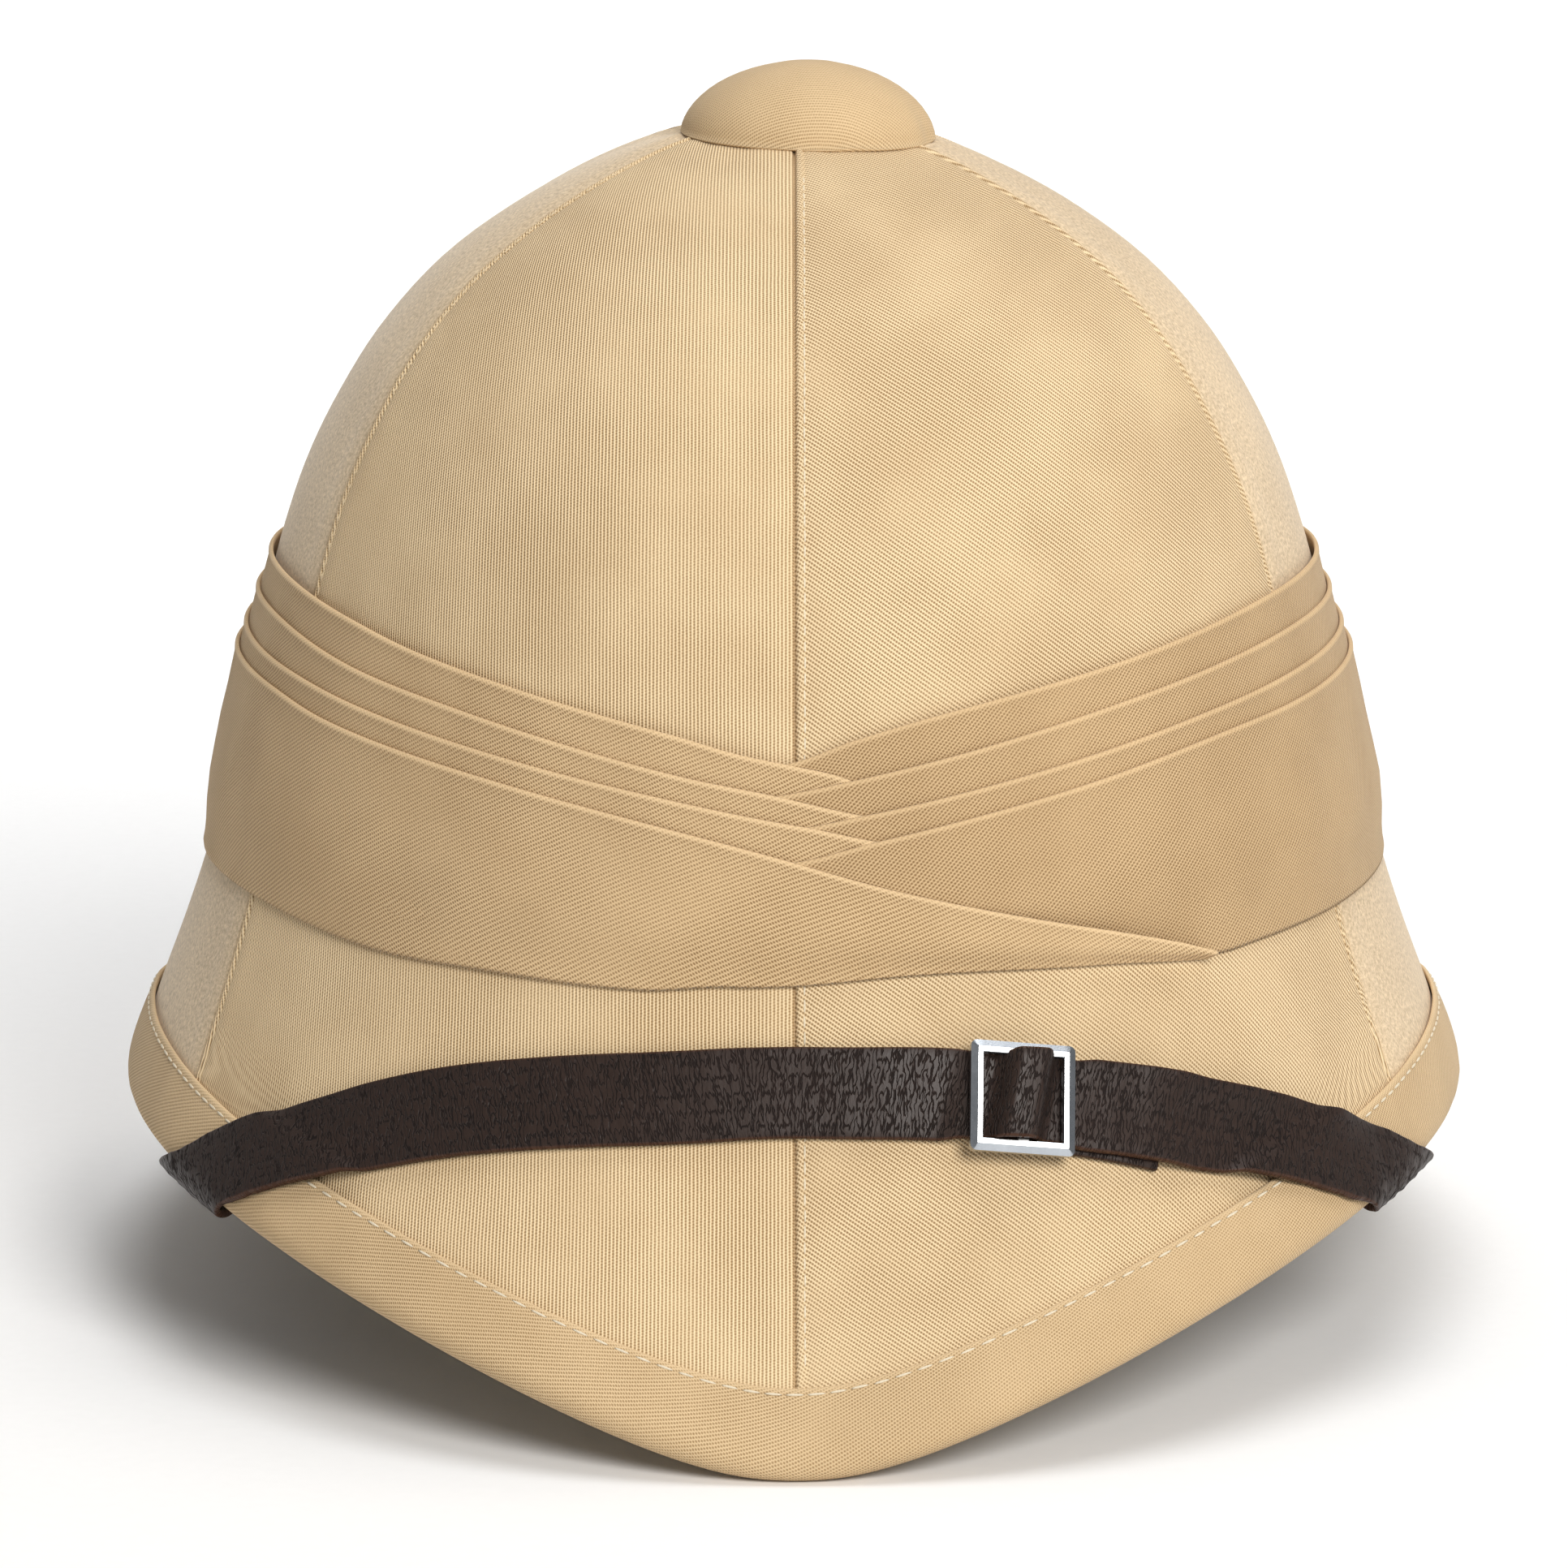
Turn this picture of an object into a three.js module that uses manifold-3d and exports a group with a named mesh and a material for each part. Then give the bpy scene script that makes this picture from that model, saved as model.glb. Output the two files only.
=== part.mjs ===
// A cloth-covered pith helmet: a moulded crown-and-brim shell, six sewn cover panels, a bound
// brim edge, a pleated puggaree in two crossing sheets, a cloth-covered top button, and a
// leather chin strap with a slide buckle worn over the front brim.
// Millimetres, +Z up, -Y is the front, +X is the wearer's left. It rests on its brim at z = 0.

import * as THREE from 'three';
import Module from 'manifold-3d';
import { mergeVertices } from 'three/addons/utils/BufferGeometryUtils.js';

// Overall form
const brim_width = 260;          // across the bound brim, side to side
const front_reach = 165;         // crown axis to the front edge
const rear_reach = 169;          // crown axis to the back edge
const crown_height = 217;        // brim's front edge up to the vent at the crown's top
const side_lift = 35.5;          // how far the brim's sides rise above its front edge
const front_point = 0.17;        // how blunt the front edge's point is, 0 being a sharp one
const vent_radius = 11;          // hole at the crown's top, under the button

// Walls and clearances
const shell_wall = 3;
const cover_wall = 1;
const layer_gap = 0.3;           // between pieces that lie on each other
const seam_gap = 0.3;            // between two cover panels at a seam

// Brim binding
const binding_wall = 1.2;
const binding_depth = 14;        // how far it reaches up the brim, outside
const binding_depth_inside = 10;
const edge_roll = 1.1;           // padding below the brim's edge
const rest_flat = 0.7;           // how much the binding is pressed flat where the hat rests

// Puggaree, the pleated cloth round the crown
const puggaree_cloth = 1.1;      // thickness of its top pleat
const pleat_step = 0.55;         // how far each lower pleat lies over the one above
const pleat_rise = 0.7;          // width of a pleat's rounded lip
const crossing_gap = 1.2;        // between the two sheets along the front crossing
const back_join_gap = 0.4;

// Top button
const button_radius = 24.4;
const button_height = 13.6;
const button_lip = 1.2;          // thickness of its edge
const stem_radius = 9.6;
const stem_length = 7;

// Chin strap, its tail, its studs and its buckle
const strap_width = 16;
const strap_wall = 1.6;
const strap_gap = 0.5;           // strap to whatever it lies on
const strap_bridge = 0.8;        // how much further it stands off the hollow wall inside
const strap_slack = 1.3;         // how much further it stands off the edge that it turns round
const strap_rise = 68;           // strap's middle above the front edge, along the brim
const strap_edge_angle = 57;     // where its middle turns round the brim's edge
const strap_curve = 1.7;         // how its middle bends down toward the edge
const strap_end_angle = 84;      // where it is fastened inside
const binding_ramp = 8;          // how far above the binding the strap starts to climb over it
const tail_wall = 1.2;
const tail_start_angle = 16.8;
const tail_end_angle = 33.4;
const tail_drop = 1.6;           // how far the tail peeks out below the strap
const stud_radius = 4;
const stud_shank_radius = 1.8;
const stud_head = 1.2;
const stud_clearance = 0.3;
const buckle_angle = 20.2;
const buckle_width = 18.2;       // along the strap
const buckle_bar = 1.8;
const buckle_thickness = 1.6;
const buckle_bevel = 0.4;
const buckle_corner = 1;
const buckle_clearance = 0.3;

// Seams run down from the button at these angles from the front.
const seam_side_angle = 64;
const seam_back_angle = 116;

// Columns of the mesh from the front to the back, in degrees from the front: each row is a
// panel, from one seam to the next, with the shares of the panel where its columns stand.
const panel_columns = [
  { from: 0, to: seam_side_angle, shares: [0, 0.047, 0.125, 0.203, 0.32, 0.44, 0.57, 0.71, 0.85, 1] },
  { from: seam_side_angle, to: seam_back_angle, shares: [0, 0.2, 0.4, 0.6, 0.8, 1] },
  { from: seam_back_angle, to: 180, shares: [0, 0.15, 0.3, 0.45, 0.6, 0.74, 0.88, 1] },
];

// Sections of the cover's outer face from the vent down to the brim's edge. The out columns are
// shares of the reach to that side, the up columns shares of the height from the edge there to
// the vent. The end_up column serves both the front and the back.
const sections = [
  { side_out: 0.191, side_up: 0.987, front_out: 0.156, rear_out: 0.152, end_up: 0.989 },
  { side_out: 0.307, side_up: 0.955, front_out: 0.257, rear_out: 0.253, end_up: 0.962 },
  { side_out: 0.424, side_up: 0.910, front_out: 0.361, rear_out: 0.355, end_up: 0.921 },
  { side_out: 0.530, side_up: 0.854, front_out: 0.456, rear_out: 0.449, end_up: 0.871 },
  { side_out: 0.618, side_up: 0.785, front_out: 0.535, rear_out: 0.528, end_up: 0.808 },
  { side_out: 0.681, side_up: 0.715, front_out: 0.593, rear_out: 0.586, end_up: 0.746 },
  { side_out: 0.729, side_up: 0.646, front_out: 0.638, rear_out: 0.632, end_up: 0.682 },
  { side_out: 0.764, side_up: 0.576, front_out: 0.670, rear_out: 0.666, end_up: 0.615 },
  { side_out: 0.791, side_up: 0.506, front_out: 0.692, rear_out: 0.693, end_up: 0.546 },
  { side_out: 0.816, side_up: 0.436, front_out: 0.708, rear_out: 0.713, end_up: 0.477 },
  { side_out: 0.839, side_up: 0.365, front_out: 0.722, rear_out: 0.733, end_up: 0.408 },
  { side_out: 0.862, side_up: 0.294, front_out: 0.743, rear_out: 0.758, end_up: 0.336 },
  { side_out: 0.889, side_up: 0.223, front_out: 0.780, rear_out: 0.795, end_up: 0.260 },
  { side_out: 0.923, side_up: 0.151, front_out: 0.832, rear_out: 0.845, end_up: 0.177 },
  { side_out: 0.962, side_up: 0.077, front_out: 0.899, rear_out: 0.907, end_up: 0.090 },
  { side_out: 1.000, side_up: 0.000, front_out: 1.000, rear_out: 1.000, end_up: 0.000 },
];
const last_row = sections.length;

// Lines of the puggaree, as shares of the way from the vent to the brim's edge, by angle from
// the front: the top edge, the lips of the three lower pleats and the bottom edge.
const puggaree_lines = [
  { angle: 0, top: 0.571, lip_2: 0.602, lip_3: 0.623, lip_4: 0.649, bottom: 0.744 },
  { angle: 30, top: 0.551, lip_2: 0.582, lip_3: 0.606, lip_4: 0.628, bottom: 0.772 },
  { angle: 41, top: 0.542, lip_2: 0.576, lip_3: 0.601, lip_4: 0.624, bottom: 0.788 },
  { angle: 60, top: 0.528, lip_2: 0.563, lip_3: 0.594, lip_4: 0.617, bottom: 0.798 },
  { angle: 90, top: 0.520, lip_2: 0.557, lip_3: 0.590, lip_4: 0.614, bottom: 0.810 },
  { angle: 180, top: 0.525, lip_2: 0.560, lip_3: 0.592, lip_4: 0.616, bottom: 0.805 },
];

// The upper edge of the sheet that passes over at the front, from the middle to its tip on the
// other side, in the same shares.
const crossing_edge = [
  { angle: 0, edge: 0.571 },
  { angle: 3, edge: 0.582 },
  { angle: 8, edge: 0.640 },
  { angle: 11, edge: 0.682 },
  { angle: 29, edge: 0.742 },
  { angle: 41, edge: 0.779 },
];
const crossing_tip = 41;

// Reach of the cover's outer face, inside the binding
const binding_over = layer_gap + binding_wall;
const side_half = brim_width / 2 - binding_over;
const front_half = front_reach - binding_over;
const rear_half = rear_reach - binding_over;
const body_wall = cover_wall + layer_gap + shell_wall;

function profile_through(out_name, reach, up_name, edge_height) {
  const points = [new THREE.Vector2(vent_radius, crown_height)];
  for (const section of sections) {
    const height = edge_height + section[up_name] * (crown_height - edge_height);
    points.push(new THREE.Vector2(section[out_name] * reach, height));
  }
  return new THREE.SplineCurve(points);
}

const side_profile = profile_through('side_out', side_half, 'side_up', side_lift);
const front_profile = profile_through('front_out', front_half, 'end_up', 0);
const rear_profile = profile_through('rear_out', rear_half, 'end_up', 0);

// How the edge climbs from its front point to the side, by the sine of the angle: a blunt point
// that runs out level at the side. At the back it stays down much longer.
function front_climb(sine) {
  const hollow = Math.hypot(sine, front_point) - front_point;
  const share = hollow / (Math.hypot(1, front_point) - front_point);
  return 1 - (1 - share) ** 1.3;
}

function rear_climb(sine) {
  return sine ** 4;
}

// The point of the cover's outer face at an angle from the front and a share of the way down.
function cover_point(angle, share) {
  const sine = Math.sin(angle);
  const cosine = Math.cos(angle);
  const side = side_profile.getPoint(share);
  const end = (cosine >= 0 ? front_profile : rear_profile).getPoint(share);
  const climb = cosine >= 0 ? front_climb(Math.abs(sine)) : rear_climb(Math.abs(sine));
  return new THREE.Vector3(side.x * sine, -end.x * cosine, end.y + (side.y - end.y) * climb);
}

function cover_normal(angle, share) {
  const step = 1e-4;
  const across = cover_point(angle + step, share).sub(cover_point(angle - step, share));
  const down = cover_point(angle, Math.min(1, share + step)).sub(cover_point(angle, Math.max(0, share - step)));
  return down.cross(across).normalize();
}

// A point at a distance out from the cover, kept in the flat facets between two rows, so that
// every layer made with it stays parallel to the others.
function layer_point(angle, share, out) {
  const place = THREE.MathUtils.clamp(share, 0, 1) * last_row;
  const row = Math.min(Math.floor(place), last_row - 1);
  const corner = (index) => cover_point(angle, index / last_row)
    .addScaledVector(cover_normal(angle, index / last_row), out);
  return corner(row).lerp(corner(row + 1), place - row);
}

const degrees = THREE.MathUtils.degToRad;

// The share at a distance up the cover from its edge.
function share_above_edge(angle, distance) {
  let left = distance;
  for (let row = last_row; row > 0; row -= 1) {
    const length = cover_point(angle, row / last_row).distanceTo(cover_point(angle, (row - 1) / last_row));
    if (left <= length) return (row - left / length) / last_row;
    left -= length;
  }
  return 0;
}

// A point near the brim's edge: out from the cover, and down past the edge in line with it.
function edge_point(angle, out, past) {
  if (past <= 0) return layer_point(angle, share_above_edge(angle, -past), out);
  const edge = layer_point(angle, 1, out);
  const above = layer_point(angle, 1 - 1 / last_row, out);
  return edge.clone().addScaledVector(edge.clone().sub(above).normalize(), past);
}

// A closed body from columns, each with as many points on its outer face as on its inner one.
// The columns run round and close on themselves, or else end in a wall.
function wall_geometry(columns, closed) {
  const positions = [];
  const faces = [];
  const rows = columns[0].outer.length;
  for (const column of columns) {
    for (const point of [...column.outer, ...column.inner]) positions.push(point.x, point.y, point.z);
  }
  const outer = (column, row) => (column % columns.length) * rows * 2 + row;
  const inner = (column, row) => outer(column, row) + rows;
  const quad = (a, b, c, d) => faces.push(a, b, c, a, c, d);
  const spans = closed ? columns.length : columns.length - 1;
  for (let column = 0; column < spans; column += 1) {
    for (let row = 0; row < rows - 1; row += 1) {
      quad(outer(column, row), outer(column, row + 1), outer(column + 1, row + 1), outer(column + 1, row));
      quad(inner(column, row), inner(column + 1, row), inner(column + 1, row + 1), inner(column, row + 1));
    }
    quad(outer(column, 0), outer(column + 1, 0), inner(column + 1, 0), inner(column, 0));
    quad(outer(column, rows - 1), inner(column, rows - 1), inner(column + 1, rows - 1), outer(column + 1, rows - 1));
  }
  if (!closed) {
    const last = columns.length - 1;
    for (let row = 0; row < rows - 1; row += 1) {
      quad(outer(0, row), inner(0, row), inner(0, row + 1), outer(0, row + 1));
      quad(outer(last, row), outer(last, row + 1), inner(last, row + 1), inner(last, row));
    }
  }
  return closed_geometry(positions, faces);
}

// Joins equal points, drops faces that have shrunk to a line, and turns the faces outwards.
function closed_geometry(positions, faces) {
  const loose = new THREE.BufferGeometry();
  loose.setAttribute('position', new THREE.Float32BufferAttribute(positions, 3));
  loose.setIndex(faces);
  const geometry = mergeVertices(loose, 1e-4);
  const place = geometry.getAttribute('position');
  const kept = [];
  let volume = 0;
  const corners = [new THREE.Vector3(), new THREE.Vector3(), new THREE.Vector3()];
  for (let face = 0; face < geometry.index.count; face += 3) {
    const ids = [0, 1, 2].map((corner) => geometry.index.getX(face + corner));
    if (new Set(ids).size < 3) continue;
    ids.forEach((id, corner) => corners[corner].fromBufferAttribute(place, id));
    volume += corners[0].dot(corners[1].clone().cross(corners[2]));
    kept.push(ids);
  }
  const turned = volume < 0 ? kept.map(([a, b, c]) => [a, c, b]) : kept;
  geometry.setIndex(turned.flat());
  geometry.computeVertexNormals();
  return geometry;
}

function material(color, roughness, metalness) {
  return new THREE.MeshStandardMaterial({ color, roughness, metalness });
}

const twill = () => material(0xd9bd8e, 0.95, 0);
const puggaree_twill = () => material(0xcfb283, 0.95, 0);
const pith = () => material(0xcdbfa4, 1, 0);
const leather = () => material(0x2e201c, 0.5, 0);
const nickel = () => material(0xc9ccd0, 0.25, 1);

function named_mesh(name, geometry, finish) {
  const mesh = new THREE.Mesh(geometry, finish);
  mesh.name = name;
  return mesh;
}

// Angles of the columns between two panels' seams, front to back, on one side.
const half_columns = panel_columns.flatMap(({ from, to, shares }, index) => (
  shares.slice(index === 0 ? 0 : 1).map((share) => from + share * (to - from))
));
const round_columns = [...half_columns, ...half_columns.slice(1, -1).reverse().map((angle) => 360 - angle)];
const row_shares = Array.from({ length: last_row + 1 }, (_, row) => row / last_row);

function shell() {
  const outside = -(cover_wall + layer_gap);
  const columns = round_columns.map((angle) => ({
    outer: row_shares.map((share) => layer_point(degrees(angle), share, outside)),
    inner: row_shares.map((share) => layer_point(degrees(angle), share, outside - shell_wall)),
  }));
  return named_mesh('shell', wall_geometry(columns, true), pith());
}

// A panel's first and last columns stand half a seam's gap away from the seam, all the way down.
function cover_panel(name, { from, to, shares }, side) {
  const columns = shares.map((share, index) => {
    const angle = degrees(from + share * (to - from));
    const shift = index === 0 ? 1 : index === shares.length - 1 ? -1 : 0;
    const point = (down, out) => {
      const across = cover_point(angle + 0.001, down).distanceTo(cover_point(angle, down)) / 0.001;
      return layer_point(side * (angle + (shift * seam_gap) / 2 / across), down, out);
    };
    return {
      outer: row_shares.map((down) => point(down, 0)),
      inner: row_shares.map((down) => point(down, -cover_wall)),
    };
  });
  return named_mesh(name, wall_geometry(columns, false), twill());
}

function cover_panels() {
  const places = ['front', 'side', 'back'];
  return places.flatMap((place, index) => [
    cover_panel(`panel_${place}_left`, panel_columns[index], -1),
    cover_panel(`panel_${place}_right`, panel_columns[index], 1),
  ]);
}

// The binding's section, out from the cover and past its edge: a padded roll under the edge
// and a leg up each face of the brim.
const binding_section = {
  outer: [
    [binding_over, -binding_depth],
    [binding_over, -binding_depth / 3],
    [binding_over, 0],
    [layer_gap, binding_over + edge_roll * 0.6],
    [-body_wall / 2, binding_over + edge_roll],
    [-body_wall * 0.9, binding_over + edge_roll * 0.9],
    [-body_wall - binding_over, edge_roll * 0.9],
    [-body_wall - binding_over, -binding_depth_inside],
  ],
  inner: [
    [layer_gap, -binding_depth],
    [layer_gap, -binding_depth / 3],
    [layer_gap, 0],
    [layer_gap, layer_gap],
    [-body_wall / 2, layer_gap],
    [-body_wall - layer_gap, layer_gap],
    [-body_wall - layer_gap, 0],
    [-body_wall - layer_gap, -binding_depth_inside],
  ],
};

const binding_columns = round_columns.map((angle) => ({
  outer: binding_section.outer.map(([out, past]) => edge_point(degrees(angle), out, past)),
  inner: binding_section.inner.map(([out, past]) => edge_point(degrees(angle), out, past)),
}));

// The hat rests where the binding is pressed flat, at its front point and along its back.
const lowest = Math.min(...binding_columns.flatMap(({ outer }) => outer.map((point) => point.z)));
const floor_height = lowest + rest_flat;

function brim_binding() {
  for (const { outer } of binding_columns) {
    for (const point of outer) point.z = Math.max(point.z, floor_height);
  }
  return named_mesh('brim_binding', wall_geometry(binding_columns, true), twill());
}

// A value of a table's column at an angle, in a straight line between its rows.
function table_value(table, name, angle) {
  const next = table.findIndex((row, index) => index > 0 && angle <= row.angle);
  const after = next < 0 ? table.length - 1 : next;
  const [low, high] = [table[after - 1], table[after]];
  const share = THREE.MathUtils.clamp((angle - low.angle) / (high.angle - low.angle), 0, 1);
  return low[name] + share * (high[name] - low[name]);
}

const lip_names = ['lip_2', 'lip_3', 'lip_4'];

// One column of a puggaree sheet between two edges: a flat top pleat, three lips that each step
// further out, and a wide lower fold that draws in again at its bottom edge.
function sheet_column(angle, top, bottom) {
  const radians = degrees(angle);
  const length = layer_point(radians, bottom, 0).distanceTo(layer_point(radians, top, 0));
  const lip_share = Math.min(0.3, pleat_rise / length) * (bottom - top);
  let level = puggaree_cloth;
  const outline = [[top, level]];
  for (const name of lip_names) {
    const line = table_value(puggaree_lines, name, Math.abs(angle));
    const stepped = line < bottom - 2 * lip_share;
    const lip = Math.max(outline.at(-1)[0], Math.min(line, bottom - lip_share));
    outline.push([lip, level]);
    if (stepped) level += pleat_step;
    outline.push([stepped ? lip + lip_share : lip, level]);
  }
  const [last_lip] = outline.at(-1);
  const fold = (share, height) => outline.push([last_lip + share * (bottom - last_lip), height]);
  fold(0.45, level + 0.3 * pleat_step);
  fold(0.85, level);
  fold(1, Math.min(level, puggaree_cloth));
  return {
    outer: outline.map(([share, height]) => layer_point(radians, share, layer_gap + height)),
    inner: outline.map(([share]) => layer_point(radians, share, layer_gap)),
  };
}

const share_of_gap = (angle, gap) => share_above_edge(degrees(angle), 0) - share_above_edge(degrees(angle), gap);

// The left sheet goes round from the back and passes over the front to its tip.
function puggaree_left() {
  const back = 180 - back_join_gap / degrees(1) / (2 * rear_half * sections[10].rear_out);
  const angles = [-back, ...half_columns.filter((angle) => angle > 0 && angle < 180).reverse().map((angle) => -angle)];
  const over = half_columns.filter((angle) => angle < crossing_tip);
  const columns = [...angles, ...over, crossing_tip].map((angle) => {
    const top = angle <= 0
      ? table_value(puggaree_lines, 'top', -angle)
      : table_value(crossing_edge, 'edge', angle);
    return sheet_column(angle, top, table_value(puggaree_lines, 'bottom', Math.abs(angle)));
  });
  return named_mesh('puggaree_left', wall_geometry(columns, false), puggaree_twill());
}

// The right sheet starts under the crossing and goes round to the back.
function puggaree_right() {
  const back = 180 - back_join_gap / degrees(1) / (2 * rear_half * sections[10].rear_out);
  const angles = half_columns.filter((angle) => angle > 1 && angle < 180);
  const columns = [...angles, back].map((angle) => {
    const top = table_value(puggaree_lines, 'top', angle);
    const bottom = table_value(puggaree_lines, 'bottom', angle);
    const crossing = table_value(crossing_edge, 'edge', angle) - share_of_gap(angle, crossing_gap);
    return sheet_column(angle, top, angle < crossing_tip + 3 ? Math.min(bottom, crossing) : bottom);
  });
  return named_mesh('puggaree_right', wall_geometry(columns, false), puggaree_twill());
}

// Height of the cover's outer face at a small radius from the crown's axis, at the front.
function crown_height_at(radius) {
  for (let share = 0; share < 0.5; share += 0.002) {
    const point = front_profile.getPoint(share);
    if (point.x >= radius) return point.y;
  }
  return crown_height;
}

// A cloth-covered dome whose stem goes down through the vent.
function top_button() {
  const edge = crown_height_at(button_radius) + layer_gap * 2;
  const under = crown_height_at(vent_radius) + layer_gap * 2;
  const dome = button_height - button_lip;
  const profile = [new THREE.Vector2(0, under - stem_length), new THREE.Vector2(stem_radius, under - stem_length)];
  profile.push(new THREE.Vector2(stem_radius, under), new THREE.Vector2(button_radius, edge));
  for (let step = 0; step <= 6; step += 1) {
    const turn = (step / 6) * (Math.PI / 2);
    profile.push(new THREE.Vector2(button_radius * Math.cos(turn) ** 0.9, edge + button_lip + dome * Math.sin(turn)));
  }
  profile.at(-1).x = 0;
  const geometry = new THREE.LatheGeometry(profile, 24);
  geometry.rotateX(Math.PI / 2);
  geometry.deleteAttribute('normal');
  geometry.deleteAttribute('uv');
  const merged = mergeVertices(geometry, 1e-4);
  const closed = closed_geometry([...merged.getAttribute('position').array], [...merged.index.array]);
  return named_mesh('top_button', closed, twill());
}

// The strap's middle, as a distance past the brim's edge along the wall it lies on: negative on
// the outside, then round the edge, then up the inside.
function strap_middle(angle) {
  const share = Math.abs(angle) / strap_edge_angle;
  if (share < 1) return -strap_rise * (1 - share ** strap_curve);
  return strap_rise * strap_curve * (share - 1);
}

// Length of strap, at the middle of its thickness, that goes round the brim's edge
const turn_height = strap_gap + strap_wall / 2;
const turn = (Math.PI / 2) * (body_wall / 2 + binding_over + turn_height + binding_over + edge_roll + turn_height);

// A point at a height over the wall, at a distance past the edge. Round the edge the way is half
// an ellipse that clears the binding's roll.
function wrapped_point(angle, past, height) {
  const half_depth = body_wall / 2 + binding_over + height;
  const half_drop = binding_over + edge_roll + height;
  const bound = (distance, depth) => (
    binding_over * THREE.MathUtils.smoothstep(depth + binding_ramp - distance, 0, binding_ramp / 2)
  );
  if (past <= 0) return edge_point(angle, bound(-past, binding_depth) + height, past);
  if (past < turn) {
    const way = (past / turn) * Math.PI;
    const slack = strap_slack * Math.sin(way);
    const bridge = strap_bridge * (0.5 - 0.5 * Math.cos(way));
    const out = -body_wall / 2 + (half_depth + slack) * Math.cos(way) - bridge;
    return edge_point(angle, out, (half_drop + slack) * Math.sin(way));
  }
  const up = past - turn;
  return edge_point(angle, -body_wall - bound(up, binding_depth_inside) - strap_bridge - height, -up);
}

// Heights over the wall where the strap lies on its tail, and where the buckle lies on the strap
const strap_on_tail = strap_gap + tail_wall + layer_gap;
const buckle_height = strap_on_tail + strap_wall + 2 * buckle_clearance;

// Height of the strap over the wall: it climbs over its own tail and over the buckle's bar.
function strap_height(angle) {
  const ramp = 4;
  const on_tail = THREE.MathUtils.smoothstep(angle, tail_start_angle - ramp, tail_start_angle)
    * (1 - THREE.MathUtils.smoothstep(angle, tail_end_angle, tail_end_angle + ramp));
  const bar_span = strap_angle(buckle_width / 2 - buckle_bar - buckle_clearance);
  const near_bar = 1 - THREE.MathUtils.smoothstep(Math.abs(angle - buckle_angle), 0.35 * bar_span, 0.95 * bar_span);
  const over_bar = buckle_height + buckle_thickness + 2 * buckle_clearance - strap_on_tail;
  return strap_gap + on_tail * (strap_on_tail - strap_gap) + near_bar * over_bar;
}

// Degrees round the brim that a length of strap takes near the buckle.
function strap_angle(length) {
  const place = share_above_edge(degrees(buckle_angle), -strap_middle(buckle_angle));
  const span = cover_point(degrees(buckle_angle + 1), place).distanceTo(cover_point(degrees(buckle_angle), place));
  return length / Math.hypot(span, strap_middle(buckle_angle + 1) - strap_middle(buckle_angle));
}

// One column across the strap at an angle of its middle, shifted sideways, at a height. The wall
// is measured along and down at that place, so that the column stands square to the strap's
// run. Round the edge the two measures' slant turns over, as the wall does.
function strap_column(angle, sideways, width, height, wall) {
  const radians = degrees(angle);
  const middle = strap_middle(angle);
  const share = Math.min(1 - 1e-3, share_above_edge(radians, Math.max(0, -middle)));
  const here = cover_point(radians, share);
  const along = cover_point(radians + 0.001, share).sub(here).divideScalar(0.001);
  const down = cover_point(radians, share + 1e-3).sub(here).normalize();
  const slant = along.dot(down) * Math.cos(THREE.MathUtils.clamp(middle / turn, 0, 1) * Math.PI);
  const climb = (strap_middle(angle + 0.1) - strap_middle(angle - 0.1)) / degrees(0.2);
  const lean = -(slant + climb) / (along.lengthSq() + climb * slant);
  const length = Math.sqrt(along.lengthSq() * lean ** 2 + 2 * slant * lean + 1);
  const across = [-0.5, -0.25, 0, 0.25, 0.5].map((part) => (part * width + sideways) / length);
  const place = (offset, over) => wrapped_point(radians + offset * lean, middle + offset, over);
  return {
    outer: across.map((offset) => place(offset, height + wall)),
    inner: across.map((offset) => place(offset, height)),
  };
}

function strap_stations() {
  const flat = [0, 6, 11, 38, 44];
  const on_tail = [tail_start_angle - 4, tail_start_angle - 2, tail_start_angle, 27, 31, tail_end_angle, tail_end_angle + 2, tail_end_angle + 4];
  const bar_span = strap_angle(buckle_width / 2 - buckle_bar - buckle_clearance);
  const over_bar = [-0.95, -0.65, -0.35, 0, 0.35, 0.65, 0.95].map((share) => buckle_angle + share * bar_span);
  const turn = Array.from({ length: 17 }, (_, step) => strap_edge_angle - 9 + step * 1.25);
  const inside = [14, 18, 22].map((past) => strap_edge_angle + past);
  const edge = [...turn, ...inside, strap_end_angle];
  const left = [...edge, 44, 38, 31, 24, 18, 12, 6].map((angle) => -angle);
  return [...left, ...flat, ...on_tail, ...over_bar, ...edge].sort((a, b) => a - b);
}

const wasm = await Module();
wasm.setup();

function solid_of(geometry) {
  const bare = new THREE.BufferGeometry();
  bare.setAttribute('position', geometry.getAttribute('position'));
  bare.setIndex(geometry.index);
  const merged = mergeVertices(bare, 1e-4);
  return new wasm.Manifold(new wasm.Mesh({
    numProp: 3,
    vertProperties: new Float32Array(merged.getAttribute('position').array),
    triVerts: new Uint32Array(merged.index.array),
  }));
}

function geometry_of(solid) {
  const { vertProperties, triVerts } = solid.getMesh();
  return closed_geometry([...vertProperties], [...triVerts]);
}

// Where a stud stands: on the strap's middle a little before its end, pointing into the hollow.
function stud_frame(side) {
  const angle = side * (strap_end_angle - 4);
  const { outer, inner } = strap_column(angle, 0, strap_width, strap_gap, strap_wall);
  const [top, bottom] = [outer[2], inner[2]];
  return { bottom, axis: top.clone().sub(bottom).normalize() };
}

function set_on_axis(geometry, start, axis) {
  const turn = new THREE.Quaternion().setFromUnitVectors(new THREE.Vector3(0, 1, 0), axis);
  return geometry.applyQuaternion(turn).translate(start.x, start.y, start.z);
}

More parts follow.
